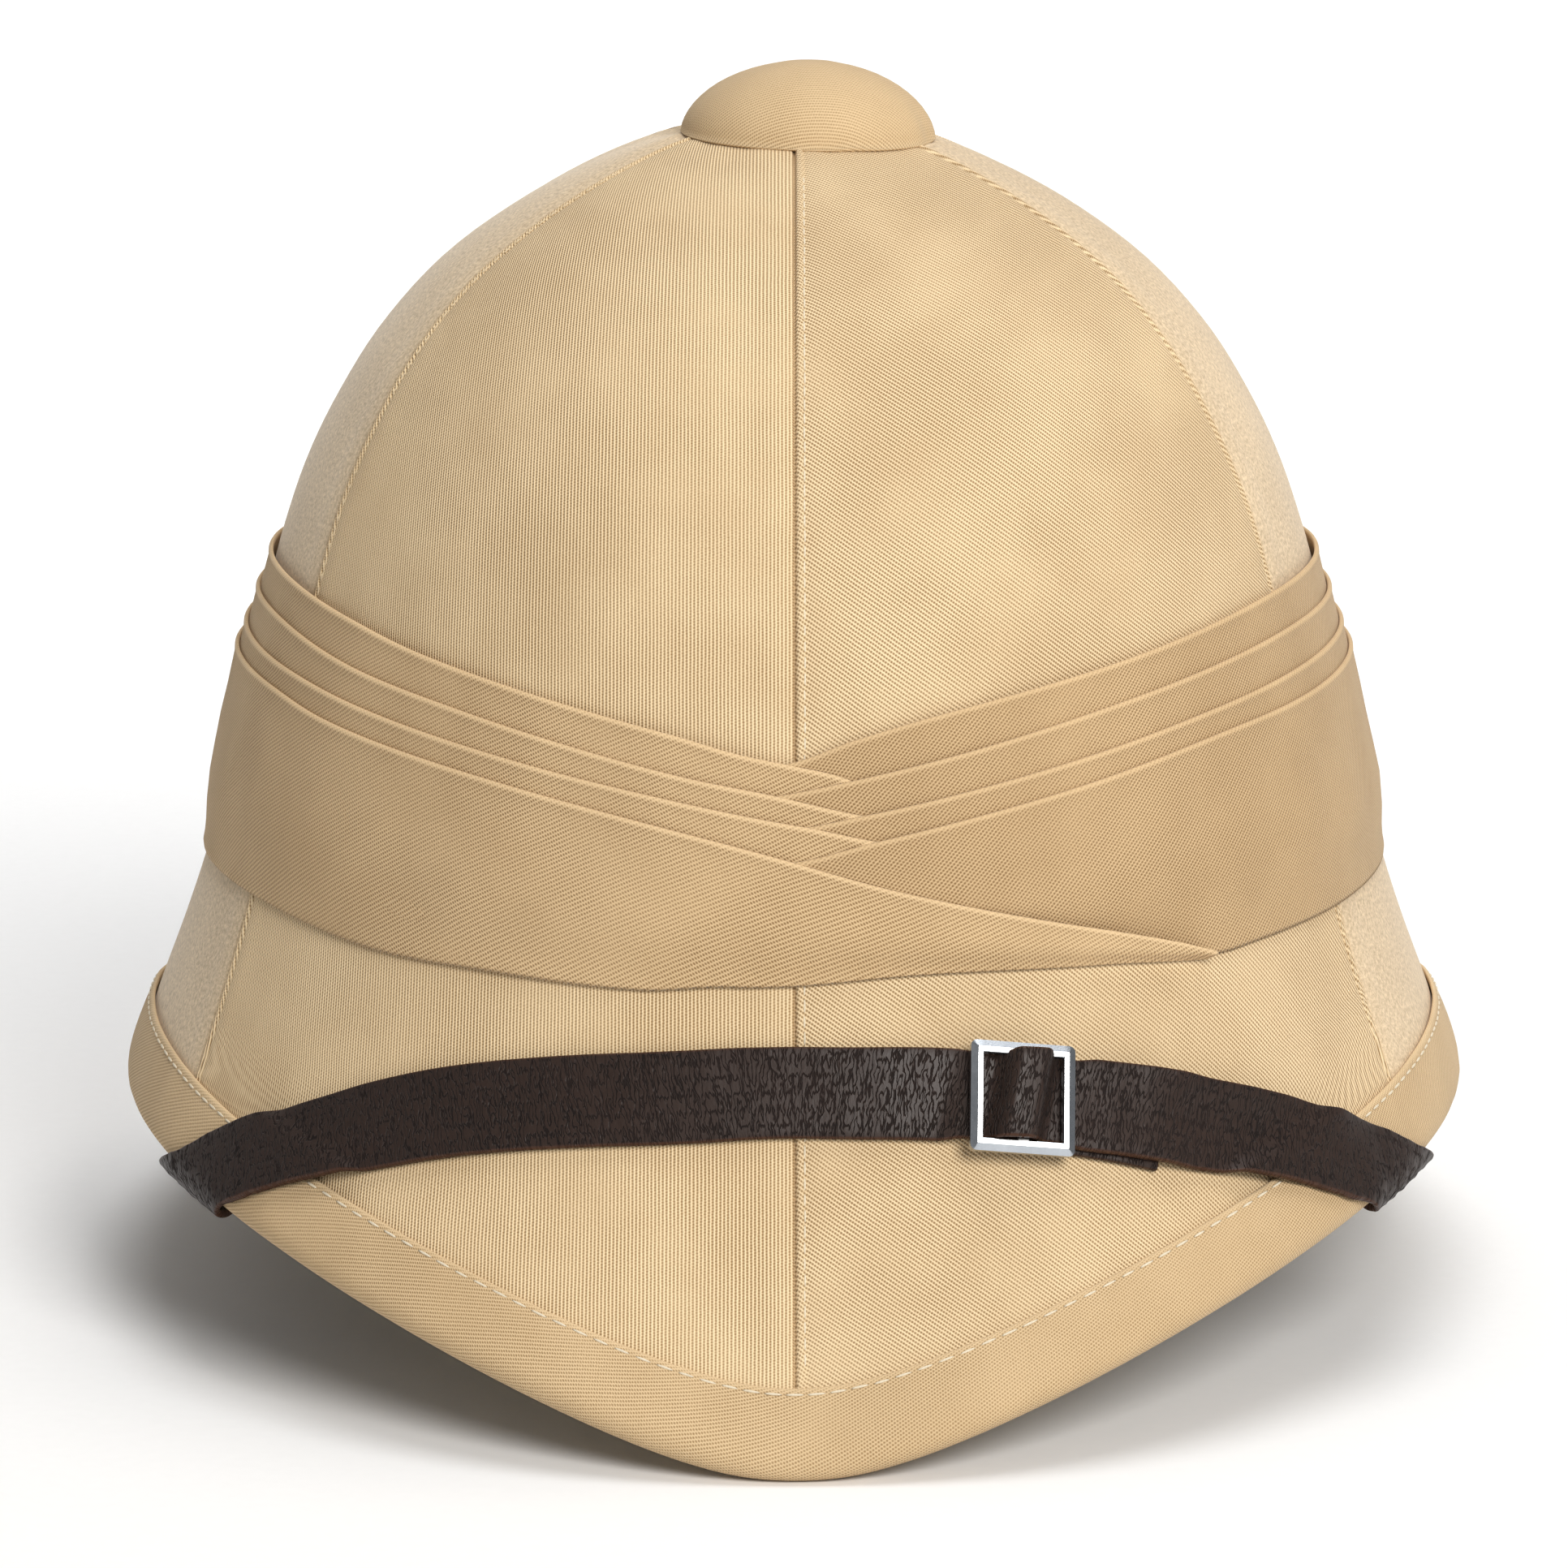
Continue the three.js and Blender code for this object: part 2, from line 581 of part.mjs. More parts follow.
function chin_strap() {
  const columns = strap_stations().map((angle) => strap_column(angle, 0, strap_width, strap_height(angle), strap_wall));
  let strap = solid_of(wall_geometry(columns, false));
  for (const side of [-1, 1]) {
    const { bottom, axis } = stud_frame(side);
    const hole = new THREE.CylinderGeometry(stud_shank_radius + stud_clearance, stud_shank_radius + stud_clearance, 4 * strap_wall, 12);
    hole.deleteAttribute('normal');
    hole.deleteAttribute('uv');
    strap = strap.subtract(solid_of(set_on_axis(hole, bottom, axis)));
  }
  return named_mesh('chin_strap', geometry_of(strap), leather());
}

// A plain stud holds each end of the strap against the inside of the shell.
function strap_stud(name, side) {
  const { bottom, axis } = stud_frame(side);
  const head = strap_wall + layer_gap;
  const profile = [[0, 0], [stud_shank_radius, 0], [stud_shank_radius, head], [stud_radius, head], [stud_radius, head + stud_head], [0, head + stud_head]];
  const geometry = new THREE.LatheGeometry(profile.map(([x, y]) => new THREE.Vector2(x, y)), 12);
  geometry.deleteAttribute('normal');
  geometry.deleteAttribute('uv');
  const merged = mergeVertices(geometry, 1e-4);
  const closed = closed_geometry([...merged.getAttribute('position').array], [...merged.index.array]);
  return named_mesh(name, set_on_axis(closed, bottom, axis), nickel());
}

function strap_tail() {
  const steps = 6;
  const columns = Array.from({ length: steps + 1 }, (_, step) => {
    const angle = tail_start_angle + (step / steps) * (tail_end_angle - tail_start_angle);
    return strap_column(angle, (tail_drop * step) / steps, strap_width, strap_gap, tail_wall);
  });
  return named_mesh('strap_tail', wall_geometry(columns, false), leather());
}

// The frame's outline: a rectangle with its corners cut.
function frame_outline(width, height, corner) {
  const [x, y] = [width / 2, height / 2];
  const points = [
    [x - corner, -y], [x, -y + corner], [x, y - corner], [x - corner, y],
    [-x + corner, y], [-x, y - corner], [-x, -y + corner], [-x + corner, -y],
  ];
  return new THREE.Shape(points.map(([across, up]) => new THREE.Vector2(across, up)));
}

// A flat square slide buckle with bevelled bars and a middle bar that the strap passes over.
function buckle() {
  const opening = strap_width + 2 * buckle_clearance;
  const outline = frame_outline(
    buckle_width - 2 * buckle_bevel,
    opening + 2 * buckle_bar - 2 * buckle_bevel,
    buckle_corner,
  );
  const plate = new THREE.ExtrudeGeometry(outline, {
    depth: buckle_thickness - 2 * buckle_bevel,
    bevelThickness: buckle_bevel,
    bevelSize: buckle_bevel,
    bevelSegments: 1,
  });
  plate.translate(0, 0, buckle_bevel);
  let frame = solid_of(plate);
  const window_width = buckle_width / 2 - 1.5 * buckle_bar;
  for (const side of [-1, 1]) {
    const opened = new THREE.BoxGeometry(window_width, opening, 4 * buckle_thickness);
    opened.translate((side * (window_width + buckle_bar)) / 2, 0, 0);
    frame = frame.subtract(solid_of(opened));
  }
  const mesh = named_mesh('buckle', geometry_of(frame), nickel());
  const near = strap_column(buckle_angle - 0.2, 0, strap_width, 0, strap_wall);
  const far = strap_column(buckle_angle + 0.2, 0, strap_width, 0, strap_wall);
  const here = strap_column(buckle_angle, 0, strap_width, 0, strap_wall);
  const along = far.inner[2].clone().sub(near.inner[2]).normalize();
  const up = here.inner[0].clone().sub(here.inner[4]).normalize();
  const out = along.clone().cross(up).normalize();
  mesh.quaternion.setFromRotationMatrix(new THREE.Matrix4().makeBasis(along, out.clone().cross(along), out));
  mesh.position.copy(here.inner[2]).addScaledVector(out, buckle_height);
  return mesh;
}

const helmet = new THREE.Group();
helmet.add(
  shell(),
  ...cover_panels(),
  brim_binding(),
  puggaree_left(),
  puggaree_right(),
  top_button(),
  chin_strap(),
  strap_tail(),
  strap_stud('strap_stud_left', -1),
  strap_stud('strap_stud_right', 1),
  buckle(),
);

// The origin is under the middle of the whole hat, on the surface that it rests on.
helmet.updateMatrixWorld(true);
const box = new THREE.Box3().setFromObject(helmet, true);
helmet.position.set(-(box.min.x + box.max.x) / 2, -(box.min.y + box.max.y) / 2, -floor_height);
helmet.updateMatrixWorld(true);

export default helmet;
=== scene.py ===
# %% [markdown]
# # A cloth-covered pith helmet
# The real helmet is a moulded pith shell under six sewn panels of cotton twill. A bound edge, a
# pleated wrap called a puggaree, a cloth button over the vent and a leather chin strap finish it.
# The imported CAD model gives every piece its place, so this lesson only makes what the eye needs:
# finer meshes that lie where the CAD solids lie, and cloth, leather and metal to cover them.

import functools
import math
import random

import bmesh
import bpy
from mathutils import Matrix, Vector, noise


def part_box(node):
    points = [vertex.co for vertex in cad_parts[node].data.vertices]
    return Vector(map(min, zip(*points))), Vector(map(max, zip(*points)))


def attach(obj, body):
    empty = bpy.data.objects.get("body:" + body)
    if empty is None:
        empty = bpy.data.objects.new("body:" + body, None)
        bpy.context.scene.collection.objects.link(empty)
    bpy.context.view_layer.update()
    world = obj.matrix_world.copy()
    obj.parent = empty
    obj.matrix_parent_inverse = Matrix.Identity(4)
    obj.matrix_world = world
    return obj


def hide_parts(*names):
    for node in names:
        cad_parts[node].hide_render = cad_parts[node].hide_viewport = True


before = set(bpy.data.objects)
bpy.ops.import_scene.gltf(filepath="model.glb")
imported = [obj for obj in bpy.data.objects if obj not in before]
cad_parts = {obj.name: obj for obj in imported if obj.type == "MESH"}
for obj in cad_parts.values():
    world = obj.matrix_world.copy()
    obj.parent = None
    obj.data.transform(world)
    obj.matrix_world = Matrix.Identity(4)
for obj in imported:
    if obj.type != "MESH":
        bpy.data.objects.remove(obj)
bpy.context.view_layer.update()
mm = 0.001
print("nodes in the frame:", len(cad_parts))

# %% [markdown]
# ## The surface that everything lies on
# A hat like this is one smooth skin from the vent down to the brim's edge. It is described by
# its profile to the side, to the front and to the back, and the edge climbs from a low front
# point to the sides. Every piece is then placed by three numbers: an angle round the crown, a
# share of the way down, and a height over the skin, which keeps the layers apart. Left and right
# are as seen from the front, so the angles on the left are negative.

# %% Sizes that the CAD model is built from
side_half = 128.5 * mm
front_half = 163.5 * mm
rear_half = 167.5 * mm
crown_height = 217 * mm
side_lift = 35.5 * mm
front_point = 0.17
vent_radius = 11 * mm
cover_wall = 1 * mm
layer_gap = 0.3 * mm
shell_wall = 3 * mm
body_wall = cover_wall + layer_gap + shell_wall
button_low, button_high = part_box("top_button")
axis_y = (button_low.y + button_high.y) / 2
floor_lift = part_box("panel_front_left")[1].z - crown_height
print(f"crown axis at y = {axis_y / mm:.2f} mm, brim point {floor_lift / mm:.2f} mm above the floor")

# %% Sections of the skin, from the vent down to the edge
# Each row: out at the side, up at the side, out at the front, out at the back, up at both ends.
sections = [
    (0.191, 0.987, 0.156, 0.152, 0.989),
    (0.307, 0.955, 0.257, 0.253, 0.962),
    (0.424, 0.910, 0.361, 0.355, 0.921),
    (0.530, 0.854, 0.456, 0.449, 0.871),
    (0.618, 0.785, 0.535, 0.528, 0.808),
    (0.681, 0.715, 0.593, 0.586, 0.746),
    (0.729, 0.646, 0.638, 0.632, 0.682),
    (0.764, 0.576, 0.670, 0.666, 0.615),
    (0.791, 0.506, 0.692, 0.693, 0.546),
    (0.816, 0.436, 0.708, 0.713, 0.477),
    (0.839, 0.365, 0.722, 0.733, 0.408),
    (0.862, 0.294, 0.743, 0.758, 0.336),
    (0.889, 0.223, 0.780, 0.795, 0.260),
    (0.923, 0.151, 0.832, 0.845, 0.177),
    (0.962, 0.077, 0.899, 0.907, 0.090),
    (1.000, 0.000, 1.000, 1.000, 0.000),
]
profile_columns = [
    [vent_radius] + [row[0] * side_half for row in sections],
    [crown_height] + [side_lift + row[1] * (crown_height - side_lift) for row in sections],
    [vent_radius] + [row[2] * front_half for row in sections],
    [vent_radius] + [row[3] * rear_half for row in sections],
    [crown_height] + [row[4] * crown_height for row in sections],
]


def cubic_between(here, after, leave, arrive, way):
    """From here to after, at a share of the way, with the slopes that it leaves and arrives with."""
    cubic = 2 * here - 2 * after + leave + arrive
    square = -3 * here + 3 * after - 2 * leave - arrive
    return ((cubic * way + square) * way + leave) * way + here


def spline(values, share):
    """A smooth curve through evenly spaced values, at a share of its way."""
    last = len(values) - 1
    place = min(max(share, 0.0), 1.0) * last
    index = min(int(place), last - 1)
    way = place - index
    before, here, after, beyond = (values[min(max(index + step, 0), last)] for step in (-1, 0, 1, 2))
    leave = (after - before) / 2
    arrive = (beyond - here) / 2
    return cubic_between(here, after, leave, arrive, way)


@functools.lru_cache(maxsize=None)
def profiles_at(share):
    return [spline(column, share) for column in profile_columns]


front_fullness = 1.3


def front_climb(sine):
    hollow = math.hypot(sine, front_point) - front_point
    share = hollow / (math.hypot(1, front_point) - front_point)
    return 1 - (1 - share) ** front_fullness


def skin(angle, share):
    """The point of the cover at an angle from the front, in degrees, and a share of the way down."""
    sine = math.sin(math.radians(angle))
    cosine = math.cos(math.radians(angle))
    side_out, side_up, front_out, rear_out, end_up = profiles_at(share)
    end_out = front_out if cosine >= 0 else rear_out
    climb = front_climb(abs(sine)) if cosine >= 0 else sine**4
    height = end_up + (side_up - end_up) * climb
    return Vector((side_out * sine, axis_y - end_out * cosine, floor_lift + height))


def skin_normal(angle, share):
    across = skin(angle + 0.02, share) - skin(angle - 0.02, share)
    down = skin(angle, min(share + 0.001, 1.0)) - skin(angle, max(share - 0.001, 0.0))
    return down.cross(across).normalized()


def over_skin(angle, share, height):
    return skin(angle, share) + skin_normal(angle, share) * height


@functools.lru_cache(maxsize=None)
def lengths_up(angle):
    """Lengths from the edge up the skin to evenly spaced shares, from 1 back to 0."""
    steps = 64
    points = [skin(angle, 1 - step / steps) for step in range(steps + 1)]
    lengths = [0.0]
    for low, high in zip(points, points[1:]):
        lengths.append(lengths[-1] + (high - low).length)
    return lengths


def share_above_edge(angle, distance):
    lengths = lengths_up(round(angle, 4))
    for step in range(1, len(lengths)):
        if lengths[step] >= distance:
            part = (distance - lengths[step - 1]) / (lengths[step] - lengths[step - 1])
            return 1 - (step - 1 + part) / (len(lengths) - 1)
    return 0.0


def by_edge(angle, height, past):
    """A point near the brim's edge: a height over the cover, and a distance past the edge."""
    if past <= 0:
        return over_skin(angle, share_above_edge(angle, -past), height)
    edge = over_skin(angle, 1, height)
    above = over_skin(angle, 0.985, height)
    return edge + (edge - above).normalized() * past


def smooth_step(low, high, value):
    share = min(max((value - low) / (high - low), 0.0), 1.0)
    return share * share * (3 - 2 * share)


def curve_value(points, place):
    """A smooth curve through (place, value) points that needn't be evenly spaced."""
    places = [point[0] for point in points]
    values = [point[1] for point in points]
    if place <= places[0]:
        return values[0]
    if place >= places[-1]:
        return values[-1]
    index = max(step for step in range(len(places) - 1) if places[step] <= place)
    span = places[index + 1] - places[index]

    def slope(step):
        low = max(step - 1, 0)
        high = min(step + 1, len(places) - 1)
        return (values[high] - values[low]) / (places[high] - places[low])

    way = (place - places[index]) / span
    here, after = values[index], values[index + 1]
    leave, arrive = slope(index) * span, slope(index + 1) * span
    return cubic_between(here, after, leave, arrive, way)


print(f"front meridian {lengths_up(0.0)[-1] / mm:.0f} mm, side meridian {lengths_up(90.0)[-1] / mm:.0f} mm")

# %% [markdown]
# ## Turning columns of points into a piece
# Every cloth piece here is lofted: columns of points stand side by side, and a grid is pulled
# over them. Each point also carries its place on the flat cloth, which becomes the UV map, so a
# weave follows the cloth and not the world. A grid that comes back on itself is welded shut.

# %% Loft and piece
def lofted(columns):
    """A mesh over columns of (point, place on the flat cloth) pairs, all of one length."""
    last_column = len(columns) - 1
    last_row = len(columns[0]) - 1
    shape = bmesh.new()
    bmesh.ops.create_grid(shape, x_segments=last_column, y_segments=last_row, size=0.5)
    cloth = shape.loops.layers.uv.new("cloth")

    def pair(corner):
        column = round((corner.co.x + 0.5) * last_column)
        return columns[column][round((corner.co.y + 0.5) * last_row)]

    for face in shape.faces:
        for corner in face.loops:
            corner[cloth].uv = pair(corner.vert)[1]
    for point in shape.verts:
        point.co = pair(point)[0]
    return shape


def close_shape(shape):
    """Welds a grid that meets itself, fills its open ends and turns its faces outwards."""
    bmesh.ops.remove_doubles(shape, verts=shape.verts, dist=0.002 * mm)
    rims = [edge for edge in shape.edges if edge.is_boundary]
    if rims:
        bmesh.ops.holes_fill(shape, edges=rims, sides=0)
    bmesh.ops.recalc_face_normals(shape, faces=shape.faces)
    return shape


def cut_area(shape, layers=1):
    """Area of the cloth that a shape is made of, which a closed shape shows twice."""
    return sum(face.calc_area() for face in shape.faces) / layers


def add_object(name, data):
    made = bpy.data.objects.new(name, data)
    bpy.context.scene.collection.objects.link(made)
    return made


def smooth_object(name, shape, finish):
    mesh = bpy.data.meshes.new(name)
    shape.to_mesh(mesh)
    shape.free()
    mesh.shade_smooth()
    mesh.materials.append(finish)
    return add_object(name, mesh)


def as_piece(name, shape, finish, replaced=()):
    made = smooth_object(name, shape, finish)
    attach(made, "root")
    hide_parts(*replaced)
    print(f"{name}: {len(made.data.polygons)} faces")
    return made


# %% [markdown]
# ## Shader maths that reads like maths
# A procedural material is a formula. This small class lets the formula be written in Python:
# adding or multiplying two values adds the Math node that does it.

# %% Values and finishes
class Value:
    def __init__(self, finish, socket):
        self.finish = finish
        self.socket = socket

    def math(self, operation, *operands):
        inputs = dict(enumerate(operands))
        return self.finish.node("ShaderNodeMath", {"operation": operation}, inputs)

    def __add__(self, other):
        return self.math("ADD", self, other)

    def __sub__(self, other):
        return self.math("SUBTRACT", self, other)

    def __rsub__(self, other):
        return self.math("SUBTRACT", other, self)

    def __mul__(self, other):
        return self.math("MULTIPLY", self, other)

    def wave(self):
        return self.math("COSINE", self) * 0.5 + 0.5

    def clear_of(self, low, high):
        inputs = {"Value": self, "From Min": low, "From Max": high}
        return self.finish.node("ShaderNodeMapRange", {"interpolation_type": "SMOOTHSTEP"}, inputs)

    __radd__ = __add__


class Finish:
    def __init__(self, name):
        self.material = bpy.data.materials.new(name)
        self.material.use_nodes = True
        self.tree = self.material.node_tree
        self.tree.nodes.clear()

    def node(self, kind, settings=None, inputs=None, output=0):
        """Adds a node with its settings and the values or links of its inputs."""
        node = self.tree.nodes.new(kind)
        for name, value in (settings or {}).items():
            setattr(node, name, value)
        for name, value in (inputs or {}).items():
            if isinstance(value, Value):
                self.tree.links.new(value.socket, node.inputs[name])
            else:
                node.inputs[name].default_value = value
        return Value(self, node.outputs[output]) if node.outputs else None

    def cloth_place(self):
        """The place on the flat cloth: metres along and metres down."""
        vector = self.node("ShaderNodeUVMap", {"uv_map": "cloth"})
        return vector, self.part(vector, 0), self.part(vector, 1)

    def part(self, vector, axis):
        return self.node("ShaderNodeSeparateXYZ", inputs={0: vector}, output=axis)

    def object_place(self):
        return self.node("ShaderNodeTexCoord", output=3)

    def grain(self, vector, size, detail=3.0, rough=0.6):
        inputs = {"Vector": vector, "Scale": 1 / size, "Detail": detail, "Roughness": rough}
        return self.node("ShaderNodeTexNoise", inputs=inputs)

    def mix(self, share, first, second):
        """Blends two colours, each a list of four numbers or a Value."""
        settings = {"data_type": "RGBA", "clamp_factor": True}
        return self.node("ShaderNodeMix", settings, {0: share, 6: first, 7: second}, output=2)

    def bump(self, height, depth, strength=1.0):
        inputs = {"Height": height, "Distance": depth, "Strength": strength}
        return self.node("ShaderNodeBump", inputs=inputs)

    def shader(self, inputs):
        surface = self.node("ShaderNodeBsdfPrincipled", inputs=inputs)
        self.node("ShaderNodeOutputMaterial", inputs={"Surface": surface})
        return self.material


# %% [markdown]
# ## Cotton twill
# Twill shows slanting ribs about 0.7 mm apart. In each valley between two ribs the threads dive under
# and leave a row of small dark holes, and the next row's holes stand half a step further on. So
# the weave is three waves: one across the ribs, and two weaker ones that break the valleys into
# holes. The ribs run in a different direction on each piece, because each was cut another way.

# %% Twill
rib_pitch = 0.69 * mm
float_pitch = 0.55 * mm


def twill(name, lean, light, dark, holes=0.3, show=1.0, fuzz=0.5, sheen=0.12, lip=0.0, lip_width=1.1 * mm):
    """Twill whose ribs stand at an angle from straight down, in degrees, with a painted highlight along a
    lip.
    """
    finish = Finish(name)
    place, along, down = finish.cloth_place()
    cosine = math.cos(math.radians(lean))
    sine = math.sin(math.radians(lean))
    drift = finish.grain(place, 24 * mm, 2.0) * 2.6 + finish.grain(place, 1.3 * mm, 2.0) * 1.2
    across_ribs = (along * cosine + down * -sine) * (math.tau / rib_pitch) + drift
    along_ribs = (along * sine + down * cosine) * (math.tau / float_pitch)
    valley = across_ribs.wave()
    right_holes = (along_ribs + across_ribs * 0.5).wave() * holes
    left_holes = (along_ribs - across_ribs * 0.5).wave() * (0.7 * holes)
    weave = 1 - (valley + right_holes + left_holes) * (1 / (1 + 1.7 * holes))
    # Painted highlight: the cloth is lighter and its ribs fainter for a short way down from the lip.
    lip_highlight = 1 - down.clear_of(0.35 * lip_width, lip_width)
    brushed = finish.grain(place, 30 * mm, 3.0).clear_of(0.35, 0.7)
    clear = (1 - brushed * 0.3) * (1 - lip_highlight * lip) * show
    speck = finish.grain(place, 0.42 * mm if show > 0.5 else 0.9 * mm, 3.0, 0.7)
    tone = finish.grain(place, 38 * mm, 3.0).clear_of(0.3, 0.7)
    share = (weave - 0.5) * clear + 0.5 + (speck - 0.5) * fuzz + (tone - 0.5) * 0.14 + lip_highlight * (0.45 * lip)
    colour = finish.mix(share, [*dark, 1], [*light, 1])
    height = weave * clear + speck * 0.3
    return finish.shader({
        "Base Color": colour,
        "Roughness": 0.86 + (speck - 0.5) * 0.1,
        "Normal": finish.bump(height, 0.2 * mm, 0.8),
        "Specular IOR Level": 0.2,
        "Sheen Weight": sheen,
        "Sheen Roughness": 0.4,
        "Sheen Tint": [0.9, 0.88, 0.84, 1],
    })


khaki_light = (0.95, 0.75, 0.475)
khaki_dark = (0.315, 0.19, 0.08)
pale_light = (0.90, 0.705, 0.445)
pale_dark = (0.29, 0.175, 0.075)
wrap_light = (0.77, 0.565, 0.33)
wrap_dark = (0.27, 0.16, 0.068)
under_light = (0.69, 0.495, 0.28)
under_dark = (0.24, 0.14, 0.058)
edge_light = (0.77, 0.58, 0.35)
edge_dark = (0.32, 0.20, 0.09)
brushed_light = (0.84, 0.665, 0.445)
brushed_dark = (0.40, 0.29, 0.175)
twill_upright = twill("twill_upright", 0, khaki_light, khaki_dark, 0.3, 1.2)
twill_slanted = twill("twill_slanted", 54, pale_light, pale_dark, 0.4, 1.3)
twill_brushed = twill("twill_brushed", 24, brushed_light, brushed_dark, show=0.16, fuzz=2.1, sheen=0.3)
twill_button = twill("twill_button", 86, (0.80, 0.60, 0.36), (0.32, 0.20, 0.09), 0.5, 0.9)
# The binding's upper edge and every pleat's lip get the painted highlight.
twill_edge = twill("twill_edge", 112, edge_light, edge_dark, 0.8, 1.1, lip=0.6, lip_width=2.6 * mm)
wrap_over = twill("wrap_over", 124, wrap_light, wrap_dark, 0.8, 1.2, sheen=0.15, lip=0.55)
wrap_under = twill("wrap_under", 129, under_light, under_dark, 0.5, 1.2, sheen=0.15, lip=0.55)
print("twills:", len(bpy.data.materials))

# %% [markdown]
# ## Pith, thread, leather and nickel
# The pressed pith is dull and fibrous under a thin facing. The strap's leather is nearly black,
# creased across its width and browner along its cut edges. The nickel is bright, with fine
# scratches that only show where a light grazes it.

# %% The other materials
def pith_finish():
    finish = Finish("pith")
    place = finish.object_place()
    fibre = finish.grain(place, 2.5 * mm, 5.0)
    cloud = finish.grain(place, 30 * mm, 3.0)
    share = fibre * 0.6 + cloud * 0.4
    colour = finish.mix(share, [0.40, 0.325, 0.22, 1], [0.68, 0.585, 0.44, 1])
    return finish.shader({
        "Base Color": colour,
        "Roughness": 0.88 + fibre * 0.08,
        "Normal": finish.bump(fibre, 0.25 * mm, 0.5),
        "Specular IOR Level": 0.2,
    })


def thread_finish(name, colour):
    finish = Finish(name)
    place = finish.object_place()
    ply = finish.grain(place, 0.3 * mm, 2.0)
    shade = finish.mix(ply, [0.6 * part for part in colour] + [1], [*colour, 1])
    return finish.shader({
        "Base Color": shade,
        "Roughness": 0.6 + ply * 0.2,
        "Normal": finish.bump(ply, 0.05 * mm, 0.5),
        "Specular IOR Level": 0.3,
    })


def leather_finish():
    """Dark leather whose first cloth coordinate runs along the strap and the second across it."""
    finish = Finish("leather")
    place, along, across = finish.cloth_place()
    warp = finish.grain(place, 2.0 * mm, 2.0) * (0.9 * mm)
    bent = finish.node("ShaderNodeCombineXYZ", inputs={0: along + warp, 1: across * 0.22})
    wrinkle = finish.grain(bent, 0.66 * mm, 1.0, 0.4) - 0.5
    plateau = wrinkle.math("ABSOLUTE", wrinkle).clear_of(0.0, 0.07)
    fine = finish.grain(bent, 0.4 * mm, 3.0)
    patch = finish.grain(place, 16 * mm, 3.0).clear_of(0.4, 0.65)
    edge = (across.math("ABSOLUTE", across)).clear_of(7.75 * mm, 8.2 * mm)
    dark = finish.mix(patch, [0.007, 0.0035, 0.0026, 1], [0.012, 0.0062, 0.0048, 1])
    worn = finish.mix(plateau * (fine * 0.6 + 0.3), dark, [0.044, 0.028, 0.0225, 1])
    colour = finish.mix(edge, worn, [0.055, 0.024, 0.014, 1])
    return finish.shader({
        "Base Color": colour,
        "Roughness": 0.31 + (1 - plateau) * 0.45 + fine * 0.14,
        "Normal": finish.bump(plateau + fine * 0.25, 0.16 * mm, 1.0),
        "Specular IOR Level": 0.22,
    })


def nickel_finish(name, dull, bright):
    finish = Finish(name)
    place = finish.object_place()
    brushed = finish.node("ShaderNodeMapping", inputs={0: place, 3: (1.0, 1.0, 0.06)})
    scratch = finish.grain(brushed, 0.35 * mm, 3.0)
    haze = finish.grain(place, 5 * mm, 2.0)
    colour = finish.mix(haze, [*dull, 1], [*bright, 1])
    return finish.shader({
        "Base Color": colour,
        "Metallic": 1.0,
        "Roughness": 0.13 + scratch * 0.12 + haze * 0.06,
        "Normal": finish.bump(scratch, 0.015 * mm, 0.4),
    })


pith = pith_finish()
thread_light = thread_finish("thread_light", (0.86, 0.76, 0.58))
thread_side = thread_finish("thread_side", (0.74, 0.60, 0.40))
leather = leather_finish()
nickel = nickel_finish("nickel", (0.44, 0.445, 0.45), (0.62, 0.625, 0.63))
# The bevels get a darker, bluer copy of the same nickel: a painted reflection.
nickel_bevel_painted_reflection = nickel_finish("nickel_bevel_painted_reflection", (0.38, 0.41, 0.45), (0.54, 0.57, 0.61))
for node_name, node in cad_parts.items():
    node.data.materials.clear()
    node.data.materials.append(nickel if "stud" in node_name else pith)
print("materials:", len(bpy.data.materials))

# %% [markdown]
# ## The pith shell
# Seen from below, the shell is the helmet's inside: a smooth bowl with the vent at its top. Its
# section is one loop, down the outside and back up the inside, so lofting it round the crown
# and welding the last column to the first makes a closed wall.

# %% The shell
round_angles = [step * 2.5 - 180 for step in range(145)]


# How far the pith's grain runs from the vent to the edge, in metres of its material
shell_grain_length = 0.3


def shell_column(angle):
    shares = [step / 40 for step in range(41)]
    outside = [(share, -(cover_wall + layer_gap)) for share in shares]
    inside = [(share, -body_wall) for share in reversed(shares)]
    column = []
    for share, height in outside + inside + outside[:1]:
        column.append((over_skin(angle, share, height), (angle * mm, share * shell_grain_length)))
    return column


shell_shape = close_shape(lofted([shell_column(angle) for angle in round_angles]))
as_piece("pith_shell", shell_shape, pith, ["shell"])

# %% [markdown]
# ## The six cover panels
# Each panel is a tapered strip of twill, turned under at both seams and stretched down over the
# brim. Two things make it read as sewn cloth: it dips at the seams, and it swells a little
# beside them. The columns stand closer together near the seams, where the shape changes.

# %% A panel
seam_side = 64
seam_back = 116
panel_rows = 72
seam_dip = 0.8 * mm
seam_swell = 0.2 * mm


def panel_height(from_seam, angle, share):
    """Height of the cloth over the skin at a distance from the nearest seam."""
    dip = math.exp(-((from_seam / (0.34 * mm)) ** 2)) * seam_dip
    swell = math.exp(-(((from_seam - 4.5 * mm) / (3 * mm)) ** 2)) * seam_swell
    ripple = noise.noise(Vector((math.radians(angle) * 4, share * 5, 3.7))) * 0.35 * mm
    return swell + ripple - dip


def seam_ridge(from_seam):
    """The turned-in edge that the topstitching holds down: a low ridge with a groove beside it."""
    ridge = smooth_step(0.1 * mm, 0.5 * mm, from_seam) * (1 - smooth_step(1.3 * mm, 1.8 * mm, from_seam))
    groove = math.exp(-(((from_seam - 1.85 * mm) / (0.3 * mm)) ** 2))
    return 0.38 * mm * ridge - 0.14 * mm * groove


